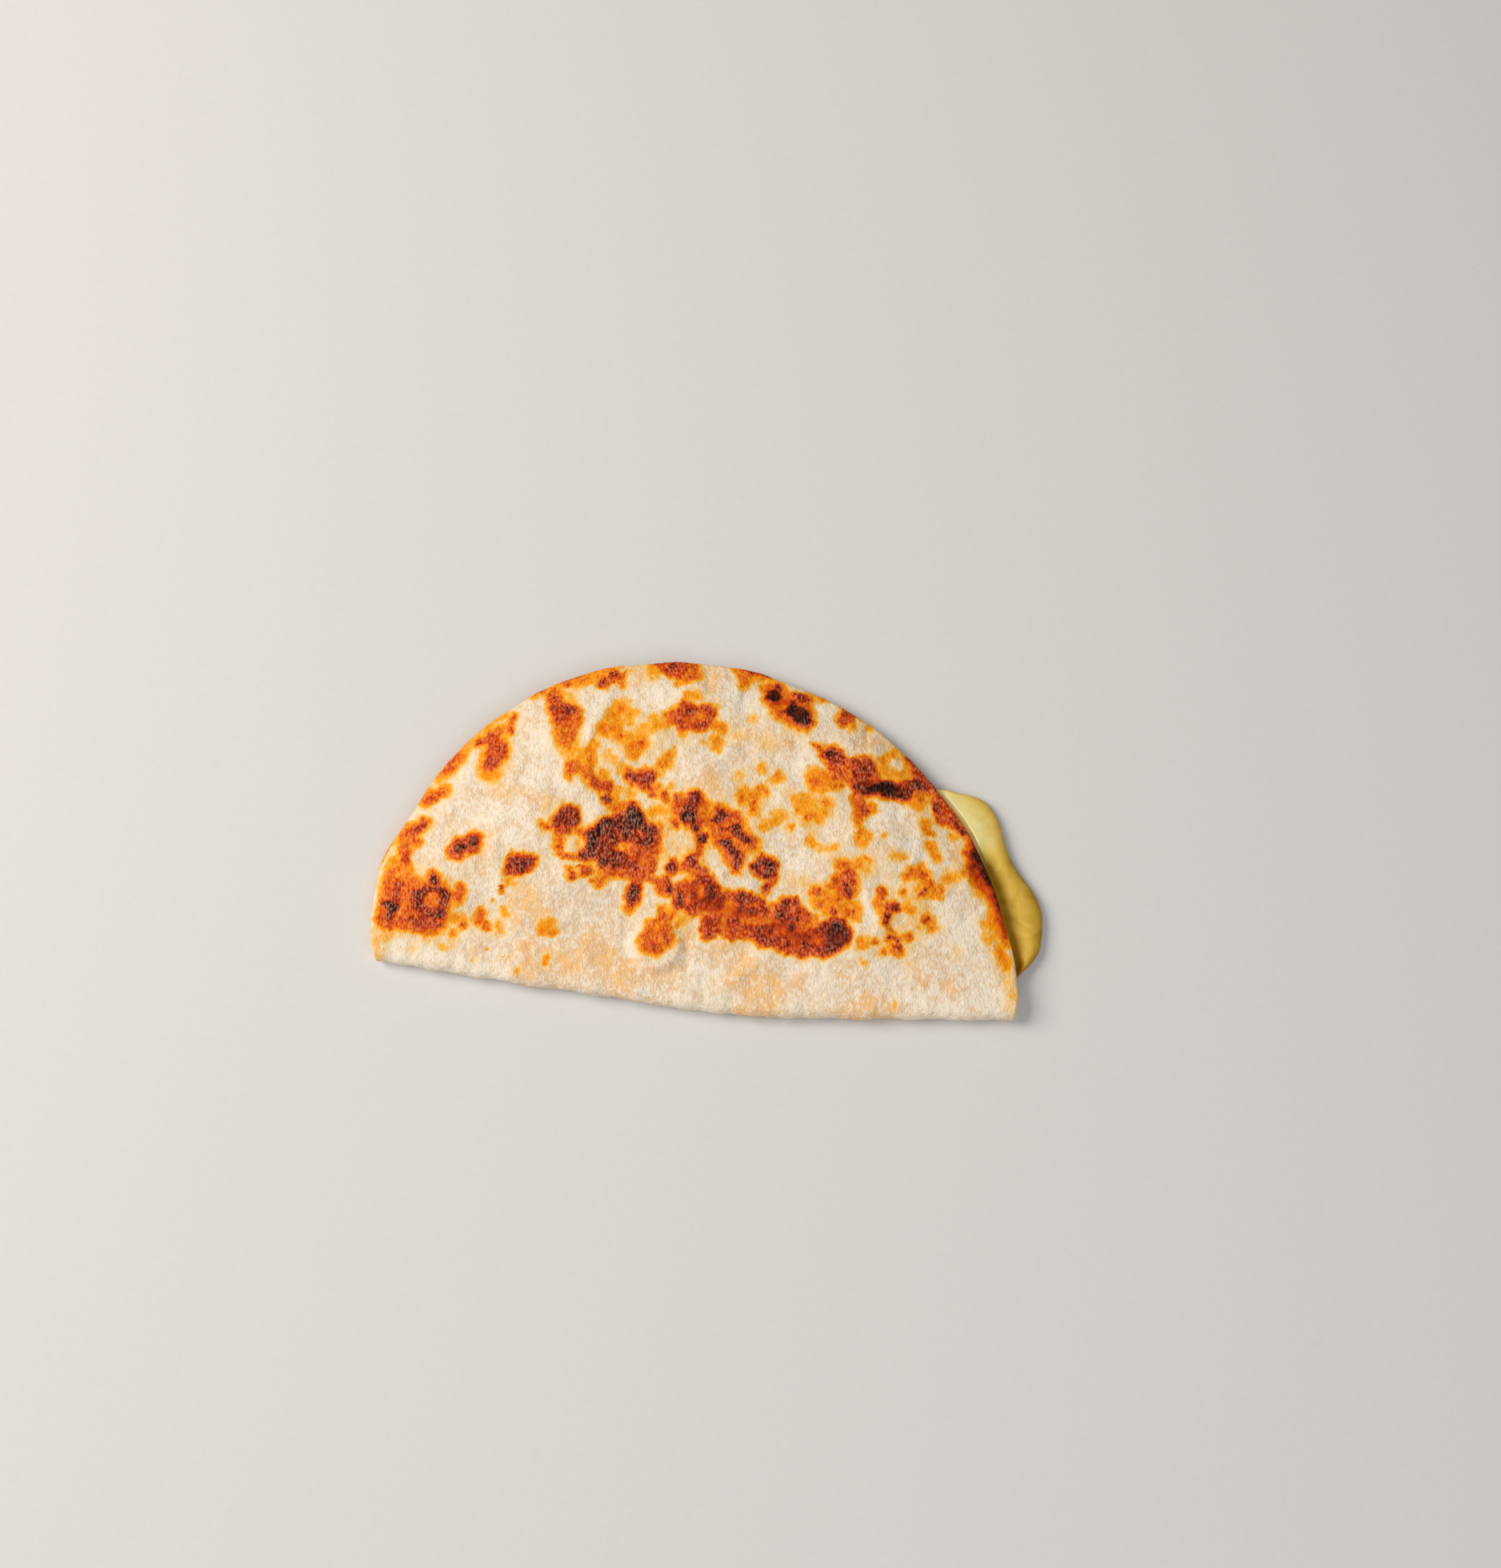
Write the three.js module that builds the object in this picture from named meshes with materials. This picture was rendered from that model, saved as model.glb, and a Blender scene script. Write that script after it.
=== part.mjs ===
// Quesadilla: a flour tortilla folded in half round melted cheese, lying flat on its lower flap.
// Millimetres, +Z up. +X runs along the fold and +Y from the fold to the round edge.
//
// Plan coordinates put the origin at the middle of the fold, with the fold drawn straight. Every
// shape is worked out there, the fold's bow is added last, and the finished group is moved so that
// the origin is under the middle of its box, on the surface that it lies on.

import * as THREE from "three";

const { clamp, degToRad, lerp, radToDeg, smoothstep } = THREE.MathUtils;

// The tortilla sheet
const SHEET = 2.0; // thickness
const RADIUS = 98; // of the flat disc, before its edge is made uneven
const FOLD_GAP = 2.6; // inside the fold, face to face
const BEND_RADIUS = (FOLD_GAP + SHEET) / 2; // of the sheet's middle, round the fold
const BEND_LENGTH = (BEND_RADIUS * Math.PI) / 2; // along the sheet, from the fold line to a flap

// Its outline in plan, from the middle of the fold: a circle that is deeper than wide, leans to the
// left, has a shoulder near the left corner, and is cut a little round at both corners
const OUTLINE = { radius: 98.4, depth: 2.9, lean: 3.8 };
const SHOULDER = { at: 165, spread: 9, rise: 2.2 };
const CORNER = { cut: 1.2, spread: 1.6 };
const EDGE_WAVES = [
  { count: 3, height: 0.32, phase: Math.PI },
  { count: 5, height: 0.35, phase: Math.PI },
  { count: 13, height: 0.2, phase: 0.4 },
  { count: 29, height: 0.12, phase: 2.1 },
];

// The lower flap stops a little short of the upper one, except at the corners, and peeks out at the
// shoulder
const LOWER_FLAP = { short: 1.3, corner: 12, peek: 2.6, at: 163, spread: 10 };

// The fold line bows forward, a little more at its left end, and most of all right of its middle
const FOLD_BOW = { ends: 0.3, depth: 4.6, lean: 0.7, bulge: 1.9, at: 14, spread: 34 };
const BOW_FADE = 70; // how far from the fold the bow has died away

// The room between the flaps
const FILLING = 7.2; // at its thickest
const FOLD_SLOPE = 40; // how far from the fold the filling gets to its full height
const RIM_SLOPE = 30; // and how far from the round edge
const LIP_GAP = 1.1; // between the flaps at the round edge, where they are pressed together
const LIP_LIFT = 1.7; // more of it, where cheese comes out

// Swells of the upper flap: long waves all over, then single blisters
const SWELLS = [
  { length: 47, turn: 12, height: 0.45, phase: 0.6 },
  { length: 31, turn: 74, height: 0.35, phase: 1.9 },
  { length: 22, turn: 131, height: 0.25, phase: 0.2 },
];
const BLISTERS = [
  { x: -11.5, y: 10.5, width: 8, height: 1.2 },
  { x: 46, y: 76, width: 9, height: 0.7 },
  { x: 64, y: 62, width: 8, height: 0.8 },
  { x: -38, y: 56, width: 11, height: 0.7 },
  { x: 12, y: 40, width: 12, height: 0.7 },
  { x: -78, y: 28, width: 9, height: 0.6 },
  { x: 74, y: 22, width: 10, height: 0.6 },
];
const SWELL_FADE = 14; // the swells die away this near to the fold and the round edge

// The cheese: it stops short of the round edge, and comes out at the right in two lobes
const CLEARANCE = 0.5; // between cheese and the flaps
const FOLD_ROOM = 1.1; // between cheese and the inside of the fold
const RECESS = 5; // from the round edge to the cheese
const OOZE = { from: 2, full: 11.2, fades: 37.5, to: 50, reach: 11.2 };
const LOBES = [
  { at: 18, spread: 7, reach: 5.5 },
  { at: 36.5, spread: 8, reach: 4 },
];
const LIP_ROOM = 0.4; // from the tortilla's round edge to where the cheese may drop to the floor
const DROP_RUN = 0.4; // how far outwards it drops
const DROP_REACH = 4; // how far a lobe comes out before its underside is on the floor
const NOSE = 1.2; // rounded end of cheese that stays inside
const NOSE_HEIGHT = 0.6;
const LOBE_EDGE = { top: 1.1, bottom: 0.35 }; // height of a lobe's outermost edge
const LOBE_FULLNESS = 2.6; // of its back: 2 is an ellipse, more is squarer
const LOBE_UNDERSIDE = 8; // the more, the later its underside turns up to the edge

// Grids
const SHEET_COLUMNS = 50;
const BEND_ROWS = 3; // from the fold line to where a flap starts
const FLAP_ROWS = 16;
const FLAP_CROWDING = 0.92; // 1 spaces a flap's rows evenly, less crowds them at the round edge
const SLOPE_STEP = 0.002; // of the grid, over which the sheet's slope is taken
const CHEESE_FOOT = 60; // half the length of fold from which the cheese's ribs fan out
const OOZE_RIBS = 28;
const PLAIN_RIBS = 26;
const RIB_STEPS = 12; // from the fold to the round edge
const LOBE_STEPS = 5; // from there to the cheese's own edge

const hump = (x, at, spread) => Math.exp(-(((x - at) / spread) ** 2));
const total = (values) => values.reduce((sum, value) => sum + value, 0);

// Radius of the upper flap's round edge in plan. The angle runs from the right corner, over the
// round edge, to the left corner.
function rimRadius(angle) {
  const at = radToDeg(angle);
  const waves = EDGE_WAVES.map((one) => one.height * Math.sin(one.count * angle + one.phase));
  return (
    OUTLINE.radius +
    OUTLINE.depth * Math.sin(angle) -
    OUTLINE.lean * Math.sin(2 * angle) +
    SHOULDER.rise * hump(at, SHOULDER.at, SHOULDER.spread) -
    CORNER.cut * (hump(at, 0, CORNER.spread) + hump(at, 180, CORNER.spread)) +
    total(waves)
  );
}

// How much further out the lower flap's round edge is than the upper one's.
function lowerFlapReach(angle) {
  const at = radToDeg(angle);
  const fromCorner = Math.min(at, 180 - at);
  const peek = LOWER_FLAP.peek * hump(at, LOWER_FLAP.at, LOWER_FLAP.spread);
  return peek - LOWER_FLAP.short * smoothstep(fromCorner, 0, LOWER_FLAP.corner);
}

// 1 along the stretch of round edge where cheese comes out, and 0 elsewhere.
function oozeShare(angle) {
  const at = radToDeg(angle);
  return smoothstep(at, OOZE.from, OOZE.full) * (1 - smoothstep(at, OOZE.fades, OOZE.to));
}

// Radius of the cheese's own edge in plan.
function cheeseRadius(angle) {
  const lobes = LOBES.map((lobe) => lobe.reach * hump(radToDeg(angle), lobe.at, lobe.spread));
  return rimRadius(angle) - RECESS + OOZE.reach * oozeShare(angle) + total(lobes);
}

// Adds the fold's bow to a point in plan.
function bowed(point) {
  const bow =
    FOLD_BOW.ends +
    FOLD_BOW.depth * (1 - (point.x / RADIUS) ** 2) -
    (FOLD_BOW.lean * point.x) / RADIUS +
    FOLD_BOW.bulge * hump(point.x, FOLD_BOW.at, FOLD_BOW.spread);
  point.y -= bow * (1 - smoothstep(point.y, 0, BOW_FADE));
  return point;
}

// How far a point of a flap is in from where the flap starts at the fold, and from its round edge.
function depthInside(x, y) {
  const rim = rimRadius(Math.atan2(Math.max(y, 0), x)) - Math.hypot(x, y);
  return { fold: y - SHEET / 2 - BEND_RADIUS, rim };
}

// Height of the upper flap's swells and blisters.
function swellAt(x, y) {
  const inside = depthInside(x, y);
  const share =
    smoothstep(inside.fold, 0, SWELL_FADE) * smoothstep(inside.rim, 0, SWELL_FADE);
  const waves = SWELLS.map((swell) => {
    const turn = degToRad(swell.turn);
    const along = x * Math.cos(turn) + y * Math.sin(turn);
    return swell.height * Math.sin((2 * Math.PI * along) / swell.length + swell.phase);
  });
  const blisters = BLISTERS.map((blister) => {
    const away = Math.hypot(x - blister.x, y - blister.y);
    return blister.height * hump(away, 0, blister.width);
  });
  return share * (total(waves) + total(blisters));
}

// Height between the inner faces of the two flaps.
function gapAt(x, y) {
  const inside = depthInside(x, y);
  const angle = Math.atan2(Math.max(y, 0), x);
  const lip = LIP_GAP + LIP_LIFT * oozeShare(angle);
  const fold = smoothstep(inside.fold, 0, FOLD_SLOPE);
  const rim = 1 - (1 - clamp(inside.rim / RIM_SLOPE, 0, 1)) ** 2;
  const edge = lerp(FOLD_GAP, lip, smoothstep(inside.fold, 0, SWELL_FADE));
  return lerp(edge, FILLING, fold * rim) + swellAt(x, y);
}

// A square grid's point (u, v), each from -1 to 1, on a disc of radius 1.
function discPoint(u, v) {
  return new THREE.Vector2(u * Math.sqrt(1 - (v * v) / 2), v * Math.sqrt(1 - (u * u) / 2));
}

// The middle of the tortilla sheet. v runs from the lower flap's round edge, through the fold at 0,
// to the upper flap's round edge.
function sheetMiddle(u, v) {
  const flat = discPoint(u, v).multiplyScalar(RADIUS);
  const across = Math.abs(flat.y);
  const turned = Math.min(across, BEND_LENGTH) / BEND_RADIUS;
  const forward = BEND_RADIUS * (1 - Math.cos(turned)) + Math.max(0, across - BEND_LENGTH);
  const angle = Math.atan2(forward, flat.x);
  const rim = rimRadius(angle) + (v < 0 ? lowerFlapReach(angle) : 0);
  const stretch = 1 + (rim / RADIUS - 1) * (flat.length() / RADIUS) ** 2;
  const point = new THREE.Vector3(flat.x * stretch, SHEET / 2 + forward * stretch, SHEET / 2);
  if (across < BEND_LENGTH) point.z += BEND_RADIUS * (1 + Math.sign(v) * Math.sin(turned));
  else if (v > 0) point.z += SHEET + gapAt(point.x, point.y);
  return bowed(point);
}

// A point of one face of the sheet: side is 1 for the outer face and -1 for the inner one.
function sheetFace(u, v, side) {
  const [u0, u1] = [Math.max(u - SLOPE_STEP, -1), Math.min(u + SLOPE_STEP, 1)];
  const [v0, v1] = [Math.max(v - SLOPE_STEP, -1), Math.min(v + SLOPE_STEP, 1)];
  const alongU = sheetMiddle(u1, v).sub(sheetMiddle(u0, v));
  const alongV = sheetMiddle(u, v1).sub(sheetMiddle(u, v0));
  const normal = alongU.cross(alongV).normalize();
  return sheetMiddle(u, v).addScaledVector(normal, (side * SHEET) / 2);
}

// The closed solid between two faces of one grid. topAt and bottomAt give a point for a row and a
// column, seen from above with columns to the right and rows away.
function slabGeometry(columns, rows, topAt, bottomAt) {
  const across = columns + 1;
  const layer = across * (rows + 1);
  const positions = [];
  for (const faceAt of [topAt, bottomAt]) {
    for (let row = 0; row <= rows; row++) {
      for (let column = 0; column <= columns; column++) {
        positions.push(...faceAt(column, row).toArray());
      }
    }
  }
  const indices = [];
  const quad = (a, b, c, d) => indices.push(a, b, c, a, c, d);
  for (let row = 0; row < rows; row++) {
    for (let column = 0; column < columns; column++) {
      const corner = row * across + column;
      const corners = [corner, corner + 1, corner + across + 1, corner + across];
      quad(...corners);
      quad(...corners.map((index) => index + layer).reverse());
    }
  }
  const wall = (a, b) => quad(b, a, a + layer, b + layer);
  for (let column = 0; column < columns; column++) {
    wall(column, column + 1);
    wall(rows * across + column + 1, rows * across + column);
  }
  for (let row = 0; row < rows; row++) {
    wall((row + 1) * across, row * across);
    wall(row * across + columns, (row + 1) * across + columns);
  }
  const geometry = new THREE.BufferGeometry();
  geometry.setAttribute("position", new THREE.Float32BufferAttribute(positions, 3));
  geometry.setIndex(indices);
  geometry.computeVertexNormals();
  return geometry;
}

// The rows' places v across the sheet, close together round the fold.
function sheetRows() {
  const bend = BEND_LENGTH / RADIUS;
  const upper = [];
  for (let row = 1; row <= BEND_ROWS; row++) upper.push((bend * row) / BEND_ROWS);
  for (let row = 1; row <= FLAP_ROWS; row++) {
    upper.push(lerp(bend, 1, (row / FLAP_ROWS) ** FLAP_CROWDING));
  }
  return [...upper.map((v) => -v).reverse(), 0, ...upper];
}

function tortilla() {
  const places = sheetRows();
  const face = (side) => (column, row) =>
    sheetFace((2 * column) / SHEET_COLUMNS - 1, places[row], side);
  const geometry = slabGeometry(SHEET_COLUMNS, places.length - 1, face(1), face(-1));
  const dough = new THREE.MeshStandardMaterial({ color: 0xe9d3b4, roughness: 0.7, metalness: 0 });
  return named("tortilla", geometry, dough);
}

// The ribs' angles, from the left corner to the right one, closer together where cheese comes out.
function cheeseAngles() {
  const angles = [];
  for (let rib = 0; rib < PLAIN_RIBS; rib++) {
    angles.push(lerp(180, OOZE.to, rib / PLAIN_RIBS));
  }
  for (let rib = 0; rib <= OOZE_RIBS; rib++) {
    angles.push(lerp(OOZE.to, 0, rib / OOZE_RIBS));
  }
  return angles.map(degToRad);
}

// One point of the cheese: step runs along a rib from the fold to the cheese's own edge.
function cheesePoint(angle, step, isTop) {
  const outer = cheeseRadius(angle);
  const lip = Math.min(rimRadius(angle) + LIP_ROOM, outer - NOSE);
  const overhang = Math.max(0, outer - lip - NOSE);
  const dropped = smoothstep(overhang, 0, DROP_REACH);
  const direction = new THREE.Vector2(Math.cos(angle), Math.sin(angle));
  const foot = new THREE.Vector2(CHEESE_FOOT * direction.x, 0);
  const atLip = direction.clone().multiplyScalar(lip);
  const plan = foot.lerp(atLip, Math.min(step / RIB_STEPS, 1));
  const beyond = Math.max(0, step - RIB_STEPS) / LOBE_STEPS;
  const firstRun = Math.min(DROP_RUN * LOBE_STEPS, outer - lip);
  plan.addScaledVector(direction, beyond * lerp(firstRun, outer - lip, beyond));

  // In from the fold's inner face
  const back = SHEET + FOLD_ROOM;
  const y = back + plan.y * (1 - back / OUTLINE.radius);
  const lipY = back + atLip.y * (1 - back / OUTLINE.radius);
  const roof = (px, py) => Math.max(SHEET + gapAt(px, py) - CLEARANCE, SHEET + 2 * CLEARANCE);
  const lipTop = roof(atLip.x, lipY);
  const floorInside = SHEET + CLEARANCE;
  const middle = (lipTop + floorInside) / 2;

  let z = isTop ? roof(plan.x, y) : floorInside;
  if (beyond > 0) {
    const edgeTop = lerp(middle + NOSE_HEIGHT / 2, LOBE_EDGE.top, dropped);
    const edgeBottom = lerp(middle - NOSE_HEIGHT / 2, LOBE_EDGE.bottom, dropped);
    const fullness = (1 - beyond ** LOBE_FULLNESS) ** (1 / LOBE_FULLNESS);
    const underside = lerp(floorInside, 0, dropped);
    const turnedUp = beyond ** LOBE_UNDERSIDE;
    z = isTop ? lerp(edgeTop, lipTop, fullness) : lerp(underside, edgeBottom, turnedUp);
  }
  return bowed(new THREE.Vector3(plan.x, y, z));
}

function cheese() {
  const angles = cheeseAngles();
  const face = (isTop) => (column, row) => cheesePoint(angles[column], row, isTop);
  const rows = RIB_STEPS + LOBE_STEPS;
  const geometry = slabGeometry(angles.length - 1, rows, face(true), face(false));
  const melted = new THREE.MeshStandardMaterial({ color: 0xe3c75e, roughness: 0.35, metalness: 0 });
  return named("cheese", geometry, melted);
}

function named(name, geometry, material) {
  const mesh = new THREE.Mesh(geometry, material);
  mesh.name = name;
  return mesh;
}

const quesadilla = new THREE.Group();
quesadilla.add(tortilla(), cheese());

const box = new THREE.Box3().setFromObject(quesadilla);
const middle = box.getCenter(new THREE.Vector3());
quesadilla.position.set(-middle.x, -middle.y, -box.min.z);

export default quesadilla;
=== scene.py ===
"""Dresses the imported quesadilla: a flour tortilla folded in half round melted cheese.

Shapes are worked out in millimetres in plan coordinates, from the same sizes as the solids that
they stand for. The origin there is the middle of the fold, with the fold drawn straight: +X runs
along the fold and +Y towards the round edge. The fold's bow is added last, and the mesh is then
moved to where the frame has its solid and turned to metres. Toasted spots are placed in the
frame's own millimetres.
"""

from __future__ import annotations

import logging
import math
import random
from collections.abc import Callable, Sequence
from dataclasses import dataclass, field
from enum import Enum
from functools import partial
from typing import Any

import bmesh
import bpy
import numpy as np
from mathutils import Matrix, Vector, noise


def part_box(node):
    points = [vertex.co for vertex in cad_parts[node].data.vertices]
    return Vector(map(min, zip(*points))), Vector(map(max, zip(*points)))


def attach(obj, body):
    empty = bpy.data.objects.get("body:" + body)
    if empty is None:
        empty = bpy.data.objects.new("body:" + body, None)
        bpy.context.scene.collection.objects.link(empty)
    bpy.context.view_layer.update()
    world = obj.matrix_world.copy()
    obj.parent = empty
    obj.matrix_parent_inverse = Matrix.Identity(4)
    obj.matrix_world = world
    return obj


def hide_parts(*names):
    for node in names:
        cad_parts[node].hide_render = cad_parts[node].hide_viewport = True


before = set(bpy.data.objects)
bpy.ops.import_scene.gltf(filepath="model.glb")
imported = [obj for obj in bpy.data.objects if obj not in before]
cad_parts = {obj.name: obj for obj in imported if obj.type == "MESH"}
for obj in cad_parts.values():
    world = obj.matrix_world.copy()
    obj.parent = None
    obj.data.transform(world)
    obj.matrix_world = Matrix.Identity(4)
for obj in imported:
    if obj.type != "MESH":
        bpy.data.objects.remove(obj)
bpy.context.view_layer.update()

MM = 0.001
BODY = "root"
BUMP_GAIN = 2.0  # bumps seldom pass half of their range, so this brings them to full height
TINY = 1e-9  # stands in for a length of 0 in a division
Array = np.ndarray
Range = tuple[float, float, float, float]  # a value's low and high, and what they become
log = logging.getLogger("quesadilla")


def smooth_step(value: Array, start: float, end: float) -> Array:
    """Eases from 0 at start to 1 at end, and stays there."""
    share = np.clip((value - start) / (end - start), 0.0, 1.0)
    return share * share * (3.0 - 2.0 * share)


def hump(value: Array, at: float, spread: float) -> Array:
    """A bell of height 1 round a value."""
    return np.exp(-(((value - at) / spread) ** 2))


def mix(start: Array, end: Array, share: Array) -> Array:
    """Goes from start to end as share goes from 0 to 1."""
    return start + (end - start) * share


def bumps(places: Array, size: float, seed: float) -> Array:
    """Smooth random heights, from about -1 to 1.

    Args:
        places: points, one a row.
        size: how far apart the bumps are, in the points' unit.
        seed: shifts the pattern, so that two patterns differ.

    Returns:
        One height for each point.
    """
    return np.array([noise.noise(Vector(place)) for place in places / size + seed])


def linear_colour(hex_code: str) -> tuple[float, float, float, float]:
    """Turns an sRGB hex code, such as "#edd9be", into a linear colour with full alpha."""
    parts = [int(hex_code[at : at + 2], 16) / 255 for at in (1, 3, 5)]
    red, green, blue = (
        part / 12.92 if part <= 0.04045 else ((part + 0.055) / 1.055) ** 2.4 for part in parts
    )
    return red, green, blue, 1.0


def per_metre(size_mm: float) -> float:
    """A pattern's scale on coordinates in metres, from the size of one of its features."""
    return 1.0 / (size_mm * MM)


def add_node(
    tree: bpy.types.NodeTree,
    kind: str,
    inputs: dict[str | int, Any] | Sequence[Any] = (),
    stops: Sequence[tuple[float, str]] = (),
    output: str | int = 0,
    **settings: Any,
) -> bpy.types.NodeSocket | None:
    """Adds one shader node, with its settings and links.

    Args:
        tree: the material's node tree.
        kind: the node's type, such as ShaderNodeTexNoise.
        inputs: what goes into its sockets, another node's socket or a value: by name or number,
            or in the sockets' own order.
        stops: for a colour ramp, each stop's place and sRGB hex code.
        output: which of its outputs is wanted, by name or number.
        settings: the node's own properties.

    Returns:
        That output, or None for a node that has none.
    """
    node = tree.nodes.new(kind)
    for name, value in settings.items():
        setattr(node, name, value)
    for key, value in inputs.items() if isinstance(inputs, dict) else enumerate(inputs):
        if isinstance(value, bpy.types.NodeSocket):
            tree.links.new(value, node.inputs[key])
        else:
            node.inputs[key].default_value = value
    for number, (place, hex_code) in enumerate(stops):
        if number >= len(node.color_ramp.elements):
            node.color_ramp.elements.new(place)
        node.color_ramp.elements[number].position = place
        node.color_ramp.elements[number].color = linear_colour(hex_code)
    return node.outputs[output] if node.outputs else None


def new_material(name: str) -> tuple[bpy.types.Material, Callable[..., Any]]:
    """Makes an empty node-based material, and returns it with add_node tied to its tree."""
    material = bpy.data.materials.new(name)
    material.use_nodes = True
    material.node_tree.nodes.clear()
    return material, partial(add_node, material.node_tree)


@dataclass(frozen=True)
class Grain:
    """A noise pattern: the size of its features in millimetres, and how rough it is."""

    size_mm: float
    detail: float = 2.0
    roughness: float = 0.5
    distortion: float = 0.0

    def inputs(self, where: bpy.types.NodeSocket) -> dict[str, Any]:
        """What goes into a noise texture that draws this pattern on these coordinates."""
        return {
            "Vector": where,
            "Scale": per_metre(self.size_mm),
            "Detail": self.detail,
            "Roughness": self.roughness,
            "Distortion": self.distortion,
        }


# ---------------------------------------------------------------------------------------------
# Toasting


class Toast(Enum):
    """How far a spot of dough has gone on the hot pan: 0 is pale and 1 is char."""

    STRAW = 0.2
    HONEY = 0.34
    AMBER = 0.44
    ORANGE = 0.55
    RUST = 0.65
    CHESTNUT = 0.72
    BROWN = 0.79
    UMBER = 0.87
    CHAR = 0.97


UNDER_TOASTS = (Toast.HONEY, Toast.AMBER, Toast.ORANGE, Toast.RUST, Toast.CHESTNUT)

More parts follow.
